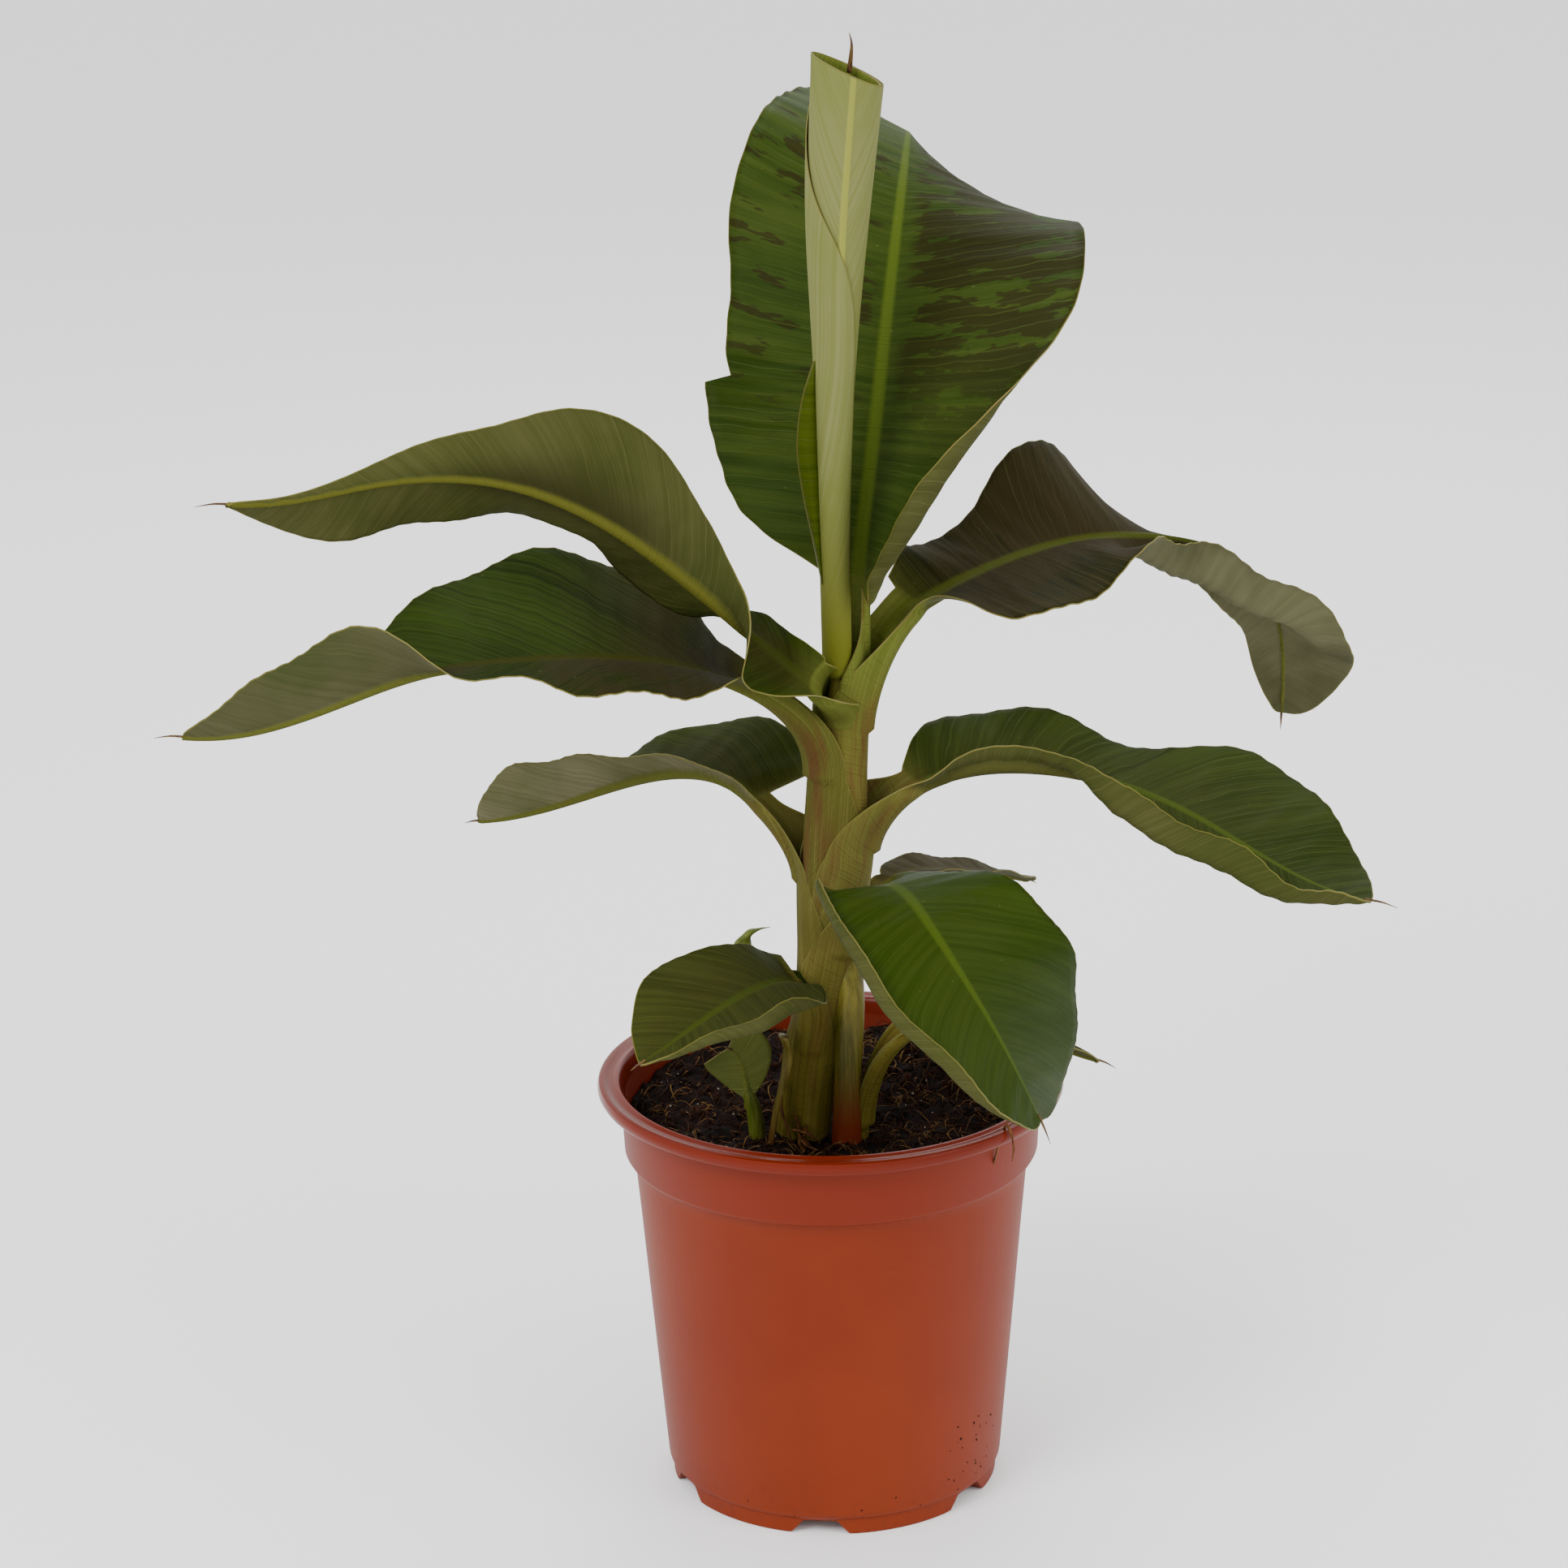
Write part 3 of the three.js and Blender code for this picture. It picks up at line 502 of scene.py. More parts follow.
leaves["frontLeft"] = Spec(
    node="leaf_front_left", letGo=243, bearing=257, sheath=50, channel=8,
    wrap=([130, 110, 95, 81], [140]), open=(-10, 30), foot=(-17, -50, 289), blade=110,
    heading=[227, 221, 222, 222, 221, 216, 208], pitch=[34, 8, -6, -12, -16, -19, -20],
    left=(50, [15, 52, 80, 92, 94, 94, 86, 70, 45, 22, 10], [5, -5, -5, 0, 0], [0, 10, 20, 20, 0],
          (0.86, [0, 0, 60, 140, 150, 150, 140, 80])),
    right=(42, [70, 86, 84, 98, 108, 102, 90, 74, 55, 32, 10], [20, 15, 15, 15, 0], [0]),
    wave=1.5, waves=3, tail=6, lean=0.4, sweep={"left": [-0.05, 0.1, 0.45], "right": [-0.35, 0.2, 0.5]},
    tone=Spec(gloss=0.42, shine=0.01, rib=(80, 88, 40), dark=(62, 67, 34), light=(80, 84, 46),
              vein=(100, 102, 62), flush=0.15))
leaves["baseRight"] = Spec(
    node="leaf_base_right", letGo=200, bearing=-10, sheath=12, channel=8.5, wrap=([100], [100]),
    start=(17, -17), startRadius=5, foot=(42, -18, 252), blade=124, heading=[25, 35, 33, 29, 25, 22, 20],
    pitch=[14, -10, -22, -26, -28, -28, -26],
    both=(25, [40, 80, 100, 100, 95, 85, 70, 55, 42, 30, 12], [20], [0]),
    wave=1, waves=3, tail=12,
    tone=Spec(gloss=0.42, dark=(60, 70, 26), light=(80, 88, 40), vein=(104, 108, 60)))
leaves["suckerFront"] = Spec(
    node="sucker_leaf_front", letGo=214, bearing=-110, sheath=4, channel=2.5, wrap=([80], [80]),
    start=(-42, -22.6), startRadius=4, small=True, foot=(-43.5, -24.5, 219), blade=35,
    heading=[-150, -140, -130], pitch=[84, 72, 30], roll=[60],
    both=(17, [15, 50, 80, 100, 100, 85, 40], [5], [0]),
    wave=0, waves=1, tail=3, sweep={"left": [-0.1, 0.2, 0.5], "right": [-0.1, 0.2, 0.5]},
    tone=Spec(underRib=(146, 152, 88), underDark=(138, 146, 86), underLight=(156, 164, 104),
              underVein=(174, 178, 112), dark=(116, 130, 84), light=(138, 150, 104),
              vein=(150, 158, 116)))
leaves["suckerRight"] = Spec(
    node="sucker_leaf_right", letGo=252, bearing=-20, sheath=4, channel=2.5, wrap=([80], [80]),
    start=(-44, -17), startRadius=4, small=True, foot=(-40, -18, 262), blade=42, heading=[-16, -8, 0],
    pitch=[60, 20, -30], roll=[20],
    both=(11, (0.45, 0.6), [20], [0]),
    wave=0, waves=1, tail=2,
    tone=Spec(gloss=0.42, dark=(36, 48, 14), light=(54, 66, 24), vein=(76, 84, 40)))

# how a leaf is cut into faces and how thick it is; a small leaf has its own values
strip = Spec(
    rowStep=2.4, columns=20, crowd=1.45, bendSteps=3, channelCurl=75, ribBase=4.2, ribTip=0.8, ribScale=1,
    weld=0.04, thick=5.0, thin=0.13, weight=1, weightTaper=0.75, sheathWeight=0.25, sheathSpread=3,
    pleat=0.35, pleatWaves=(1.9, 3.1), sinkPerMm=0.06, lean=0.15,
    openBefore=10, openAfter=0.08, neck=0.1, bend=0.15, foldSoft=0.12, tipRound=24,
    sweep=[-0.35, 0.1, 0.45], sweepBefore=25, sweepPower=1.3, nickLip=0.25,
    rippleFull=0.6, ripplePhase=(0.13, 0.57), fineRipple=0.12, fineRippleWaves=6.3)
smallStrip = Spec(strip, rowStep=0.96, columns=10, ribScale=0.35, thick=3.0, weight=0.4, pleat=0)
samples = Spec(sheath=60, stalk=79, blade=240)  # fine steps along a midrib's three stretches


def stripOf(leaf):
    return smallStrip if leaf.get("small") else strip


def squareTo(tangent, up):
    return unit(up - tangent * np.sum(up * tangent, axis=1)[:, None])


def midribOf(leaf):  # fine samples from the sheath's foot to the tip; s = 0 where the sheath lets go
    low, middle, high = samples.sheath, samples.stalk, samples.blade
    out = heading3(leaf.bearing, 0)
    zs = np.linspace(leaf.letGo - leaf.sheath, leaf.letGo, low)
    if "start" in leaf:
        x, y = leaf.start
        wall = np.stack([np.full(low, x), np.full(low, y), zs], -1)
        radius = np.full(low, float(leaf.startRadius))
    else:
        x, y, radius = stemAt(zs)
        radius = radius - strip.sinkPerMm * (leaf.letGo - zs) - leaf.get("inset", 0)
        wall = np.stack([x, y, zs], -1) + radius[:, None] * out
    rise = unit(wall[-1] - wall[-4])
    foot = np.array(leaf.foot, float)
    chord = np.linalg.norm(foot - wall[-1])
    first = heading3(leaf.heading[0], leaf.pitch[0])
    v = np.linspace(0, 1, middle + 1)[1:, None]
    stalk = ((2 * v ** 3 - 3 * v ** 2 + 1) * wall[-1] + (v ** 3 - 2 * v ** 2 + v) * rise * chord
             + (3 * v ** 2 - 2 * v ** 3) * foot + (v ** 3 - v ** 2) * first * chord)
    u = np.linspace(0, 1, high + 1)
    heading, pitch, roll = (along(leaf.get(key, [0]), u) for key in ("heading", "pitch", "roll"))
    forward = heading3(heading, pitch)
    steps = np.cumsum(0.5 * (forward[1:] + forward[:-1]) * leaf.blade / high, axis=0)
    place = np.vstack([wall, stalk, foot + steps])
    tangent = unit(np.gradient(place, axis=0))
    bladeUp = heading3(heading, pitch + 90)
    bladeSide = np.cross(forward, bladeUp)
    roll = np.radians(roll)[:, None]
    bladeUp = bladeUp * np.cos(roll) + bladeSide * np.sin(roll)
    v = ease(v, 0.15, 1)
    up = np.vstack([np.tile(-out, (low, 1)), (1 - v) * -out + v * bladeUp[0], bladeUp[1:]])
    reach = np.concatenate([[0], np.cumsum(np.linalg.norm(np.diff(place, axis=0), axis=1))])
    s = reach - reach[low - 1]
    return Spec(s=s, place=place, tangent=tangent, up=squareTo(tangent, up), stalk=s[low + middle - 1],
                radius=np.concatenate([radius, np.full(middle + high, radius[-1])]))


def outline(t, shape):  # share of the greatest width, t from base to tip
    if isinstance(shape, list):
        return np.clip(along(shape, t) / 100, 0, 2) * np.clip(1 - t ** strip.tipRound, 0, 1) ** 0.5
    fullest, blunt = shape
    skew = math.log(0.5) / math.log(fullest)
    return np.clip(np.sin(np.pi * np.clip(t, 0, 1) ** skew), 0, 1) ** blunt


def leafPoints(leaf):
    kit = stripOf(leaf)
    rib = midribOf(leaf)
    stalk, sheath, blade, channel = rib.stalk, leaf.sheath, leaf.blade, leaf.channel
    rowStep, columns = kit.rowStep, kit.columns
    lower = np.linspace(-sheath, stalk, max(int((stalk + sheath) / rowStep), 6), endpoint=False)
    u = np.linspace(0, 1, int(blade / rowStep) + 1)
    upper = stalk + blade * 0.5 * (u + (1 - np.cos(np.pi * u)) / 2)  # rows lie closer at both ends
    s = np.concatenate([lower, upper])

    def at(name):
        return np.stack([np.interp(s, rib.s, rib[name][:, k]) for k in range(3)], -1)
    place, tangent = at("place"), unit(at("tangent"))
    up = squareTo(tangent, at("up"))
    side = np.cross(tangent, up)
    radius = np.interp(s, rib.s, rib.radius)
    t = np.clip((s - stalk) / blade, 0, 1)
    channelled = ease(s, *leaf.get("open", (-0.45 * sheath, 0.5 * stalk)))
    opened = ease(s, stalk - kit.openBefore, stalk + kit.openAfter * blade)
    count = len(s)
    points = np.zeros((count, 2 * columns + 1, 3))
    across, edge = np.zeros((2, count, 2 * columns + 1))
    points[:, columns] = place
    shares = (np.arange(columns + 1) / columns) ** kit.crowd
    steps = kit.bendSteps
    soft = kit.foldSoft
    shortWave, longWave = kit.pleatWaves
    nickHalf, nickAt, nickDepth, nickLong = leaf.get("nick", ("", 0, 0, 1))
    for half, sign, wraps, phase in zip(("left", "right"), (-1, 1), leaf.wrap, kit.ripplePhase):
        wrap = along(wraps, np.clip(1 + s / sheath, 0, 1))
        width, shape, lift, curl, *folds = leaf.get(half) or leaf.both
        foldAt, fold = folds[0] if folds else (0.5, [0])
        sweep = along(leaf.get("sweep", {}).get(half, kit.sweep), t)
        sweep = sweep * ease(s, stalk - kit.sweepBefore, stalk)
        sheathWidth = np.radians(wrap) * radius * (1 - channelled) + channel * channelled
        if nickHalf == half:
            beyond = t - nickAt
            width = width * np.where(beyond > 0, 1 - nickDepth * np.exp(-beyond / nickLong),
                                     1 + kit.nickLip * nickDepth * np.exp(beyond / nickLong))
        bladeWidth = np.maximum(width * outline(t, shape), channel * (1 - ease(t, 0, kit.neck)))
        wide = np.where(s >= stalk, bladeWidth, sheathWidth)
        lifted = np.radians(along(lift, t)) * opened
        tucked = wrap * (1 - channelled) + kit.channelCurl * channelled
        curled = np.radians(tucked * (1 - opened) + along(curl, t) * opened)
        folded = np.radians(along(fold, t)) * opened
        bend = 1 + kit.bend * opened
        x, y = np.zeros((2, count))
        ripple = leaf.wave * opened * np.minimum(1, wide / (kit.rippleFull * np.max(width)))
        edge[:, columns] = wide
        for k in range(1, columns + 1):
            for part in range(steps):
                r = shares[k - 1] + (shares[k] - shares[k - 1]) * (part + 0.5) / steps
                angle = lifted + curled * r ** bend + folded * ease(r, foldAt - soft, foldAt + soft)
                x = x + np.cos(angle) * wide * (shares[k] - shares[k - 1]) / steps
                y = y + np.sin(angle) * wide * (shares[k] - shares[k - 1]) / steps
            r = shares[k]
            waves = 2 * np.pi * leaf.waves * t
            wobble = ripple * r * r * np.sin(waves + 2 * np.pi * phase)
            wobble = wobble + kit.fineRipple * ripple * r ** 4 * np.sin(
                kit.fineRippleWaves * waves + 4 * np.pi * phase)
            pleat = kit.pleat * opened * math.sin(math.pi * r) * (
                np.sin(s / shortWave + 3 * phase) + 0.7 * np.sin(s / longWave + phase))
            j = columns + sign * k
            points[:, j] = (place + side * (sign * x)[:, None] + up * (y + wobble + pleat)[:, None]
                            + tangent * (sweep * wide * r ** kit.sweepPower)[:, None])
            across[:, j] = sign * wide * r
            edge[:, j] = wide * (1 - r)
    reach = np.where(s < 0, s / max(sheath, 1), np.where(s < stalk, s / stalk, 1 + t))
    return Spec(points=points, across=across, edge=edge, s=s, reach=reach, columns=columns,
                tip=place[-1], tipForward=tangent[-1])


def ribHalf(leaf, reach):  # half the midrib's or the channel's width
    kit = stripOf(leaf)
    base, channel = leaf.get("ribWidth", kit.ribBase), leaf.channel
    blade = base + (kit.ribTip - base) * np.clip(reach - 1, 0, 1)
    half = np.where(reach < 1, channel + (base - channel) * ease(reach, 0.8, 1), blade)
    return half * kit.ribScale


def makeLeaf(name, leaf):
    cloth = leafPoints(leaf)
    kit = stripOf(leaf)
    across, columns = cloth.across, cloth.columns
    half = ribHalf(leaf, cloth.reach)
    lean = leaf.get("lean", kit.lean)  # how far the veins run towards the tip as they leave the midrib

    def place(i, j):
        return cloth.s[i] - lean * abs(across[i, j]), across[i, j]

    def values(i, j):
        reach = cloth.reach[i]
        offset = abs(across[i, j]) / half[i]
        if reach < 0:
            weight = kit.sheathWeight * max(1 - offset / kit.sheathSpread, 0)
        else:
            taper = 1 - kit.weightTaper * min(max(reach - 1, 0), 1)
            weight = math.sqrt(max(1 - offset * offset, 0)) * taper
        share = (j - columns) / columns
        return cloth.edge[i, j] * mm, offset, reach, share, weight * kit.weight

    bm, index = sheet(cloth.points, place, values)
    faceUp(bm, index, cloth.points, 0, columns)
    weld(bm, kit.weld)
    settleBlade(name, bm, leaf.tone, [leaf.node], kit.thick, kit.thin)
    return cloth


for name, leaf in leaves.items():
    leaf.cloth = makeLeaf(name, leaf)
print("leaves made")


# the newest leaf, still rolled up like a scroll. The midrib stays at one bearing, and the outer
# half wraps round it by outerTurn, at even steps from the foot to the mouth.
rolled = Spec(foot=436, mouth=742, slope=8, x=[5.5, 4.8, 5.6, 7.4, 12.7], y=[-2, -5, -9, -12, -14],
              radius=[7.2, 7.8, 10.4, 15, 17.6], least=2, midrib=278, innerTurn=330, spacing=1.4,
              outerTurn=[427, 427, 424, 420, 416, 410, 400, 367, 297, 247, 202], rows=120, columns=96,
              ribFoot=2.6, ribTaper=1.2, lean=2.4, thick=1.8, thin=0.36,
              tone=Spec(gloss=0.42, dark=(116, 126, 60), light=(132, 140, 74), vein=(144, 150, 88),
                        rib=(172, 178, 104), footTone=(122, 124, 54), underDark=(146, 150, 98),
                        underLight=(170, 171, 126), underVein=(176, 177, 136),
                        underRib=(182, 184, 108), relief=0.3))
# the dark edge of the same leaf's foot, which stands out at the left
flap = Spec(x=[-2, -6.5, -11, -13.5, -11, -4], foot=485, top=602, rows=40, columns=8, inside=0.8,
            forward=2, bow=3, thick=0.7, dark=(64, 74, 16), light=(84, 94, 28))


def makeRolled():
    rows, columns, foot, mouth = (rolled[key] for key in ("rows", "columns", "foot", "mouth"))
    u = np.linspace(0, 1, rows + 1)[:, None]
    c = np.linspace(-1, 1, columns + 1)[None, :]
    turn = along(rolled.outerTurn, u)
    wound = np.where(c < 0, rolled.innerTurn, turn)
    theta = rolled.midrib + c * wound
    radius = along(rolled.radius, u) - rolled.spacing * (rolled.midrib + turn - theta) / 360
    radius = np.maximum(radius, rolled.least)
    angle = np.radians(theta)
    z = foot + u * (mouth - rolled.slope * np.cos(angle) - foot)
    x = along(rolled.x, u) + radius * np.cos(angle)
    y = along(rolled.y, u) + radius * np.sin(angle)
    arc = c * wound * np.pi / 180 * radius
    fringe = np.minimum((1 - np.abs(c)) * wound * np.pi / 180 * radius, (1 - u) * (mouth - foot) + 0 * c)

    def place(i, j):
        return z[i, j] - rolled.lean * abs(arc[i, j]), arc[i, j]

    def values(i, j):
        rib = abs(arc[i, j]) / (rolled.ribFoot - rolled.ribTaper * u[i, 0])
        return fringe[i, j] * mm, rib, 1 + u[i, 0], c[0, j], max(1 - rib, 0)

    points = np.stack([x, y, z], -1)
    bm, index = sheet(points, place, values)
    i, j = rows // 2 + 1, columns - 2
    faceUp(bm, index, points, i, j, (-math.cos(angle[i, j]), -math.sin(angle[i, j]), 0))
    settleBlade("rolled_leaf", bm, rolled.tone, ["leaf_rolled"], rolled.thick,
                rolled.thin)


def makeFlap():
    u = np.linspace(0, 1, flap.rows + 1)[:, None]
    c = np.linspace(0, 1, flap.columns + 1)[None, :]
    z = flap.foot + u * (flap.top - flap.foot) + 0 * c
    share = (z - rolled.foot) / (rolled.mouth - rolled.foot)
    inner = along(rolled.x, share) - flap.inside * along(rolled.radius, share)
    x = inner + (along(flap.x, u) - inner) * c
    y = along(rolled.y, share) - flap.forward - flap.bow * np.sin(np.pi * c)
    bm, _ = sheet(np.stack([x, y, z], -1), lambda i, j: (z[i, j], x[i, j]),
                  lambda i, j: (abs(x[i, -1] - x[i, j]) * mm, 9, 1.5, 0, None))
    outward(bm)
    bm.normal_update()
    if sum(f.normal.y for f in bm.faces) > 0:
        bmesh.ops.reverse_faces(bm, faces=bm.faces)
    deep = Spec(leaves["upright"].tone, blotch=0, dark=flap.dark, light=flap.light)
    settleBlade("rolled_leaf_foot", bm, deep, (), flap.thick)


makeRolled()
makeFlap()
print("rolled leaf made")


# stem core, side shoot and sucker; paints are a low, a high and a foot colour, and the heights in
# metres between which the last one ends
core = Spec(stem, inset=4.6, foot=189, top=442, sides=40, rows=59, groove=0, grooves=5,
            paints=[(146, 136, 56), (172, 162, 88), (122, 88, 40), 0.19, 0.212])
shoot = Spec(core, x=[7, 8, 9.5, 9], y=[-22, -21, -17, -10], radius=[8, 7.2, 7.8, 6], inset=0, foot=186,
             top=308, groove=0.07, paints=[(104, 100, 34), (150, 142, 66), (134, 66, 32), 0.196, 0.236])
suckerPaints = [(92, 104, 36), (122, 134, 58), (120, 96, 50), 0.19, 0.2]
# plain tubes: path, radii, sides, squash and rings, then the paints, the slot and the node
shoots = {
    "sucker_stalk": (([(-38, -20, 186), (-40, -22, 208), (-43, -23, 220), (-45, -21, 232)],
                      [4.6, 4, 3.2, 2.6], 14), suckerPaints, "stem_skin", "sucker_stem"),
    "sucker_shoot": (([(-44, -18, 222), (-47, -15, 262), (-46, -11, 288), (-42, -10, 301), (-36, -9, 304),
                       (-30, -9, 305)], [2.6, 3, 4.6, 4.2, 1.4, 0.3], 12, 0.5, 30),
                     suckerPaints, "young_leaf", "sucker_spear"),
    "dry_strip": (([(-33, -27, 188), (-30, -28, 208), (-25.5, -29, 228), (-22.5, -29, 242), (-25, -30, 254)],
                   [2, 1.8, 2, 2.8, 4.4], 14, 0.4, 24),
                  [(116, 104, 44), (164, 152, 86), (104, 72, 38), 0.19, 0.22], "dry_leaf", "dry_sheath")}


def greenSkin(name, low, high, footColour, footFrom, footTo):
    s = Shader(name, 0.5, 0.25)
    streak = s.noise(1, 4, 0.6, s.local((1100, 1100, 16)))
    wide = s.noise(1, 3, 0.6, s.local((240, 240, 9)))
    base = s.mix(s.ramp(wide, 0.35, 0.65), low, high)
    base = s.cover(base, (158, 150, 92), s.ramp(streak, 0.48, 0.7), 0.6)
    s.colour(s.mix(s.ramp(s.height(), footFrom, footTo), footColour, base))
    s.bump(streak, 0.0005, 0.35)
    return s.material


def makeStalk(name, values, nodes):
    u = np.linspace(0, 1, values.rows + 1)[:, None]
    angle = np.linspace(0, 2 * np.pi, values.sides + 1)[None, :]
    dip = np.maximum(np.cos(values.grooves * angle + 0.6), 0) ** 2
    radius = (along(values.radius, u) - values.inset) * (1 - values.groove * dip)
    x, y = along(values.x, u) + radius * np.cos(angle), along(values.y, u) + radius * np.sin(angle)
    z = values.foot + (values.top - values.foot) * u + 0 * angle
    bm, _ = gridMesh(np.stack([x, y, z], -1))
    weld(bm)
    bmesh.ops.holes_fill(bm, edges=openEdges(bm))
    outward(bm)
    settle(name, bm, [greenSkin(name + " skin", *values.paints)], nodes)


def makeStem():
    makeStalk("stem_heart", core, ["stem"])
    makeStalk("side_shoot", shoot, ())
    for name, (values, paints, slotName, node) in shoots.items():
        settleTubes(name, [values], greenSkin(name + " skin", *paints), [node])


makeStem()
print("stem made")


# pot: a profile that is turned about Z, then the foot ring's notches. dust, band and lip are a
# colour and the heights in metres between which it comes in.
pot = Spec(steps=180, notches=6, firstNotch=-98, notchTop=17, notchBottom=31, notchHeight=8,
           notchReach=8.05, ring=77, footRadius=85, hardEdge=38, low=(134, 61, 24), high=(147, 72, 34),
           scratch=(196, 116, 84), dust=((112, 60, 40), 0.05, 0.0), band=((134, 57, 26), 0.177, 0.186),
           lip=((124, 50, 24), 0.211, 0.2135), rough=0.5, lipShine=0.26)
potProfile = [
    (0, 0), (13.2, 0), (14, 0.8), (14, 8.2), (15, 9), (77, 9), (78, 8), (78, 0.6), (78.6, 0), (84.4, 0),
    (85, 0.6), (85.2, 8.6), (86.6, 10), (87.3, 10.8), (87.5, 12), (91.2, 55), (95, 100), (98.8, 146),
    (101.2, 173), (101.6, 177.6), (102.4, 179.6), (105.6, 181.4), (106.8, 183.4), (108.2, 209),
    (108.8, 211.6), (110.4, 213), (116.6, 213.6), (119, 214.4), (120, 216.2), (120, 218.4), (119.3, 220.2),
    (117.8, 221), (116.2, 220.8), (115, 220.1), (113.4, 219.8), (111.8, 220.1), (110.6, 220.8),
    (109.4, 220.9), (108.5, 220.1), (108, 218), (106, 213.6), (105.2, 190.4), (104.2, 188.6),
    (100.4, 187.2), (99.4, 184), (85.6, 20), (83.4, 13.4), (80, 12), (0, 12)]


def potSkin():
    s = Shader("terracotta plastic", 0.42, 0.14)
    cloud = s.noise(5, 4, 0.6)
    grain = s.noise(260, 2, 0.6)
    scratch = s.noise(1, 3, 0.7, s.local((60, 60, 900)))
    dust, band, lip = (s.ramp(s.height(), *pot[key][1:]) for key in ("dust", "band", "lip"))
    base = s.mix(s.ramp(cloud, 0.3, 0.7), pot.low, pot.high)
    base = s.cover(base, pot.scratch, s.ramp(scratch, 0.66, 0.78), 0.25)
    base = s.cover(base, pot.dust[0], dust, s.ramp(grain, 0.5, 0.72), 0.35)
    base = s.cover(base, pot.band[0], band, 0.8)
    s.colour(s.cover(base, pot.lip[0], lip, 0.8))
    s.feed(s.surface.inputs["Roughness"], s.maths("SUBTRACT", pot.rough, s.times(lip, pot.lipShine)))
    return s.material


def makePot():
    bm = bmesh.new()
    row = [bm.verts.new(Vector((r, 0, z)) * mm) for r, z in potProfile]
    chain = [bm.edges.new(pair) for pair in zip(row, row[1:])]
    bmesh.ops.spin(bm, geom=row + chain, axis=(0, 0, 1), cent=(0, 0, 0), angle=2 * math.pi,
                   steps=pot.steps, use_merge=True)
    weld(bm)
    outward(bm)
    half = pot.notchBottom / 2 / pot.footRadius
    top = pot.notchTop / 2 / pot.footRadius
    pitch = 360 / pot.notches
    for v in bm.verts:
        if math.hypot(v.co.x, v.co.y) / mm < pot.ring or v.co.z > pot.notchReach * mm:
            continue
        angle = math.degrees(math.atan2(v.co.y, v.co.x)) - pot.firstNotch
        away = math.radians(abs((angle + pitch / 2) % pitch - pitch / 2))
        cut = pot.notchHeight * min(max((half - away) / (half - top), 0), 1)
        v.co.z = max(v.co.z, cut * mm)
    settle("pot_shell", bm, [potSkin()], ["pot"], pot.hardEdge)


makePot()
print("pot made")


# soil: a crumbly top with fibres, crumbs and white grains on it, given as a count, the least and
# greatest size of lumps, and the dark and the light colour
soil = Spec(level=193, riseBack=13, rise=(-20, 90), radius=104.6, cells=150, shoulder=180,
            shoulderRadius=99, foot=14, footRadius=84, seed=5, batch=50, dark=(14, 8, 6),
            light=(40, 23, 15), reach=103, within=102, stem=(12, 12, 17), fibreEnd=101,
            fibreLength=(3, 16), fibreThick=(0.16, 0.5))
crumbs = [("soil_crumbs", 1500, 0.5, 2.6, "crumbs", (24, 13, 8), (74, 46, 30)),
          ("white_grains", 110, 0.4, 1.0, "white grains", (190, 180, 165), (225, 218, 205))]
fibres = [("dark_fibres", 950, "dark fibres", (44, 27, 16), (88, 60, 36)),
          ("pale_fibres", 520, "pale fibres", (112, 84, 52), (170, 140, 96))]
# specks of soil stuck low on the pot's wall, most of them at the right; angles in degrees
dirt = Spec(count=75, size=(0.35, 1.1), lowShare=0.35, lowAngles=(-150, -20), lowHeights=(10, 22),
            angle=-38, spread=9, heights=(12, 52), radius=86.6, foot=10, slope=0.0935,
            dark=(40, 20, 12), light=(70, 40, 26))


def soilTop(x, y):  # height of the soil's surface in mm
    wave = math.sin(x / 11 + 1) * math.cos(y / 9) + 0.6 * math.sin(x / 5 - y / 6)
    lump = noise.fractal(Vector((x / 14, y / 14, 2)), 0.7, 2.1, 5)
    return soil.level + soil.riseBack * float(ease(y, *soil.rise)) + 1.2 * wave + 3.2 * lump


def soilSkin(name, dark, light):
    s = Shader(name, 0.95, 0.15)
    s.colour(s.mix(s.ramp(s.noise(140, 5, 0.7), 0.35, 0.7), dark, light))
    s.bump(s.noise(900, 3, 0.7), 0.0008, 0.7)
    return s.material


def makeSoil():
    radius, shoulder = soil.radius, soil.shoulderRadius
    row = np.linspace(-1, 1, soil.cells + 1)
    gx, gy = np.meshgrid(row, row)
    x = radius * gx * np.sqrt(1 - gy ** 2 / 2)
    y = radius * gy * np.sqrt(1 - gx ** 2 / 2)
    z = np.array([[soilTop(a, b) for a, b in zip(p, q)] for p, q in zip(x, y)])
    bm, _ = gridMesh(np.stack([x, y, z], -1))
    rim = openEdges(bm)
    steps = ((soil.shoulder, shoulder / radius), (soil.foot, soil.footRadius / shoulder))
    for level, width in steps:
        out = bmesh.ops.extrude_edge_only(bm, edges=rim)["geom"]
        rim = [e for e in out if isinstance(e, bmesh.types.BMEdge) and e.is_boundary]
        for v in {v for e in rim for v in e.verts}:
            v.co = Vector((v.co.x * width, v.co.y * width, level * mm))
    bmesh.ops.holes_fill(bm, edges=rim)
    outward(bm)
    settle("soil_bed", bm, [soilSkin("peat", soil.dark, soil.light)], ["soil"])


def onSoil(rng):  # a place on the soil clear of the stem
    reach = soil.reach
    left, front, clear = soil.stem
    while True:
        x, y = rng.uniform(-reach, reach), rng.uniform(-reach, reach)
        if math.hypot(x, y) < soil.within and math.hypot(x + left, y + front) > clear:
            return x, y, soilTop(x, y)


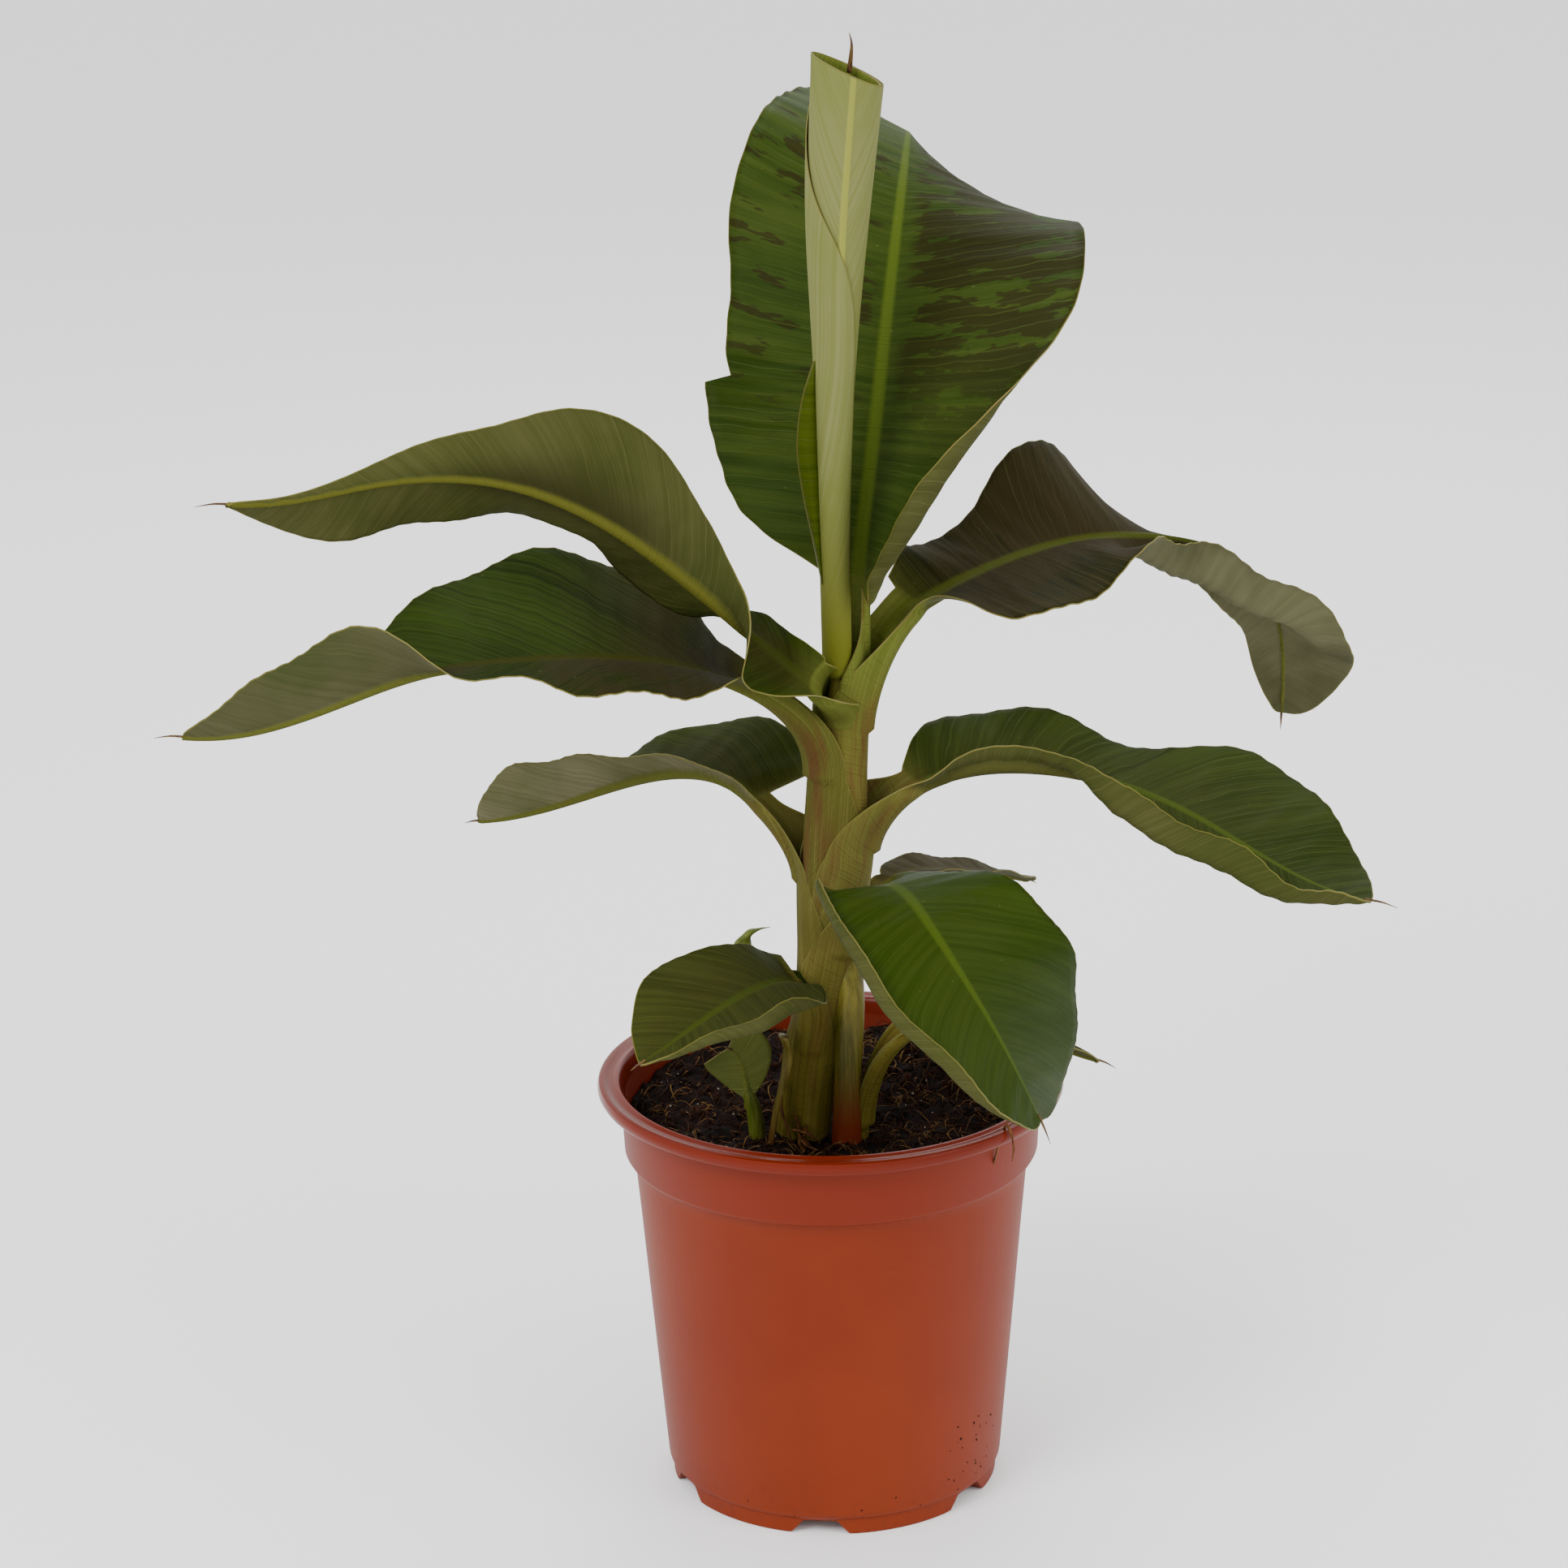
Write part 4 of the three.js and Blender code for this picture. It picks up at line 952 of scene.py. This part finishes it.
def scatter(name, count, skin, build):  # many small shapes as one piece, in batches to stay quick
    whole = bmesh.new()
    for start in range(0, count, soil.batch):
        batch = bmesh.new()
        for _ in range(min(soil.batch, count - start)):
            build(batch)
        mesh = bpy.data.meshes.new("batch")
        batch.to_mesh(mesh)
        batch.free()
        whole.from_mesh(mesh)
        bpy.data.meshes.remove(mesh)
    settle(name, whole, [skin])


def addBall(bm, size, place, *turns):
    verts = bmesh.ops.create_icosphere(bm, subdivisions=1, radius=size * mm)["verts"]
    matrix = Matrix.Translation(Vector(place) * mm)
    for turn in turns:
        matrix = matrix @ turn
    bmesh.ops.transform(bm, verts=verts, matrix=matrix)


def addLump(bm, rng, low, high):
    x, y, z = onSoil(rng)
    size = low + (high - low) * rng.random() ** 2.5
    turn = Matrix.Rotation(rng.uniform(0, 6.3), 4, Vector((rng.random(), rng.random(), 1)).normalized())
    shape = Matrix.Diagonal((rng.uniform(0.6, 1.5), rng.uniform(0.6, 1.2), rng.uniform(0.4, 0.9), 1))
    addBall(bm, size, (x, y, z + 0.2 * size), turn, shape)


def addFibre(bm, rng):
    x, y, z = onSoil(rng)
    if x < 10 and rng.random() < 0.4:  # more of them lie at the right
        x, y, z = onSoil(rng)
    length, turn = rng.uniform(*soil.fibreLength), rng.uniform(0, 6.3)
    bend, rise = rng.uniform(-8, 8), rng.uniform(0.4, 4)
    dx, dy = length * math.cos(turn), length * math.sin(turn)
    far = min(1, soil.fibreEnd / max(math.hypot(x + dx, y + dy), 1))
    endX, endY = (x + dx) * far, (y + dy) * far
    middle = ((x + endX) / 2 - bend * math.sin(turn) * 0.5, (y + endY) / 2 + bend * math.cos(turn) * 0.5)
    path = [(x, y, z - 0.2), (*middle, soilTop(*middle) + rise), (endX, endY, soilTop(endX, endY) + 0.2)]
    thick = rng.uniform(*soil.fibreThick)
    tube(bm, path, [thick, thick, thick * 0.4], 4, 0.6, 6)


def addDirt(bm, rng):
    low = rng.random() < dirt.lowShare
    angle = rng.uniform(*dirt.lowAngles) if low else rng.gauss(dirt.angle, dirt.spread)
    z = rng.uniform(*dirt["lowHeights" if low else "heights"])
    radius = dirt.radius + (z - dirt.foot) * dirt.slope
    place = (radius * math.cos(math.radians(angle)), radius * math.sin(math.radians(angle)), z)
    addBall(bm, rng.uniform(*dirt.size), place)


def makeSoilBits():
    rng = random.Random(soil.seed)
    for name, count, low, high, *look in crumbs:
        scatter(name, count, soilSkin(*look), lambda bm: addLump(bm, rng, low, high))
    for name, count, *look in fibres:
        scatter(name, count, soilSkin(*look), lambda bm: addFibre(bm, rng))
    scatter("pot_dirt", dirt.count, soilSkin("stuck dirt", dirt.dark, dirt.light),
            lambda bm: addDirt(bm, rng))


makeSoil()
makeSoilBits()
print("soil made")


# thread-like ends of the leaves, and the one in the rolled leaf's mouth; mid and drop are shares
# of a thread's length
thread = Spec(back=3, mid=0.4, drop=0.12, radii=[1.1, 0.7, 0.15],
              mouth=[(14.6, -2, 738), (15.4, -3, 746), (15.8, -3, 752), (14.8, -2.4, 757)],
              mouthRadii=[1.6, 1.2, 0.8, 0.3], light=(120, 96, 52), dark=(84, 58, 34))


def makeTails():
    tubes = []
    for leaf in leaves.values():
        tip, forward, length = leaf.cloth.tip, leaf.cloth.tipForward, leaf.tail
        path = [tip - forward * thread.back, tip + forward * thread.mid * length,
                tip + forward * length - np.array([0, 0, thread.drop * length])]
        tubes.append((path, thread.radii, 8, 0.7, 9))
    tubes.append((thread.mouth, thread.mouthRadii, 8, 0.7, 12))
    s = Shader("dry tips", 0.7, 0.3)
    s.colour(s.mix(s.ramp(s.noise(300, 3), 0.4, 0.6), thread.light, thread.dark))
    settleTubes("leaf_tips", tubes, s.material)


makeTails()
print("leaf tips made")


# papery remains of dead leaf feet round the stem, and a root that hangs over the lip
dry = Spec(
    flaps=[[(-27, -26, 227), (-26.5, -28, 213), (-23, -30, 201), (-20, -32, 190)],
           [(-19, -27, 209), (-17, -30, 200), (-13, -35, 195), (-8, -36, 193)],
           [(-21, -31, 203), (-13, -33, 201), (-7, -32, 195)],
           [(-14, -29, 204), (-16, -31, 196), (-15, -36, 191)]],
    width=[2.6, 3.4, 3, 1], rootRadii=[0.5, 0.7, 0.6, 0.3],
    root=[(78, -74, 199), (83, -81, 221.6), (85.5, -85.5, 221), (87, -87.5, 213), (86, -88, 206)],
    dark=(74, 44, 22), light=(150, 112, 66))


def makeDryBits():
    tubes = [(path, dry.width, 10, 0.22, 18) for path in dry.flaps]
    tubes.append((dry.root, dry.rootRadii, 6, 1, 20))
    s = Shader("dead leaf", 0.8, 0.2)
    streak = s.noise(1, 4, 0.7, s.local((500, 500, 60)))
    s.colour(s.mix(s.ramp(streak, 0.35, 0.65), dry.dark, dry.light))
    s.bump(streak, 0.0006, 0.5)
    settleTubes("dry_flaps", tubes, s.material)


makeDryBits()
print("dry bits made")


# camera, from the photograph's perspective; focal and frame in pixels
cameraSpec = Spec(place=(-0.10575, -2.2286, 1.1215), down=18.43, yaw=2.16, roll=-0.84, focal=5741,
                  frame=1932, sensor=36)


def makeCamera():
    data = bpy.data.cameras.new("camera")
    data.sensor_width = cameraSpec.sensor
    data.lens = cameraSpec.sensor * cameraSpec.focal / cameraSpec.frame
    camera = bpy.data.objects.new("camera", data)
    matrix = Matrix.Translation(cameraSpec.place)
    for axis, degrees in (("Z", -cameraSpec.yaw), ("X", 90 - cameraSpec.down), ("Z", cameraSpec.roll)):
        matrix @= Matrix.Rotation(math.radians(degrees), 4, axis)
    camera.matrix_world = matrix
    bpy.context.scene.collection.objects.link(camera)
    bpy.context.scene.camera = camera


makeCamera()
print("camera placed")


# floor and lights; a light is its name, place, target, size and power
studio = Spec(floor=6, floorPaint=(0.92, 0.92, 0.92, 1), world=1.5)
lights = [("key light", (-1.6, -1.8, 2.4), (0, 0, 0.4), 1.6, 80),
          ("fill light", (1.9, -1.5, 1.6), (0, 0, 0.4), 1.8, 34),
          ("back light", (0.3, 1.8, 2.2), (0, 0, 0.5), 1.6, 24)]


def makeLight(name, place, target, size, power):
    data = bpy.data.lights.new(name, "AREA")
    data.shape = "DISK"
    data.size = size
    data.energy = power
    light = bpy.data.objects.new(name, data)
    light.location = place
    light.rotation_euler = (Vector(target) - Vector(place)).to_track_quat("-Z", "Y").to_euler()
    bpy.context.scene.collection.objects.link(light)


def makeStudio():
    bm = bmesh.new()
    bmesh.ops.create_grid(bm, x_segments=1, y_segments=1, size=studio.floor)
    mesh = bpy.data.meshes.new("floor")
    bm.to_mesh(mesh)
    bm.free()
    floor = bpy.data.objects.new("floor", mesh)
    bpy.context.scene.collection.objects.link(floor)
    s = Shader("floor", 0.9, 0.2)
    s.colour(studio.floorPaint)
    mesh.materials.append(s.material)
    for values in lights:
        makeLight(*values)
    world = bpy.data.worlds.new("studio")
    bpy.context.scene.world = world
    world.use_nodes = True
    background = world.node_tree.nodes["Background"]
    background.inputs["Color"].default_value = (1, 1, 1, 1)
    background.inputs["Strength"].default_value = studio.world


makeStudio()
print("studio made")
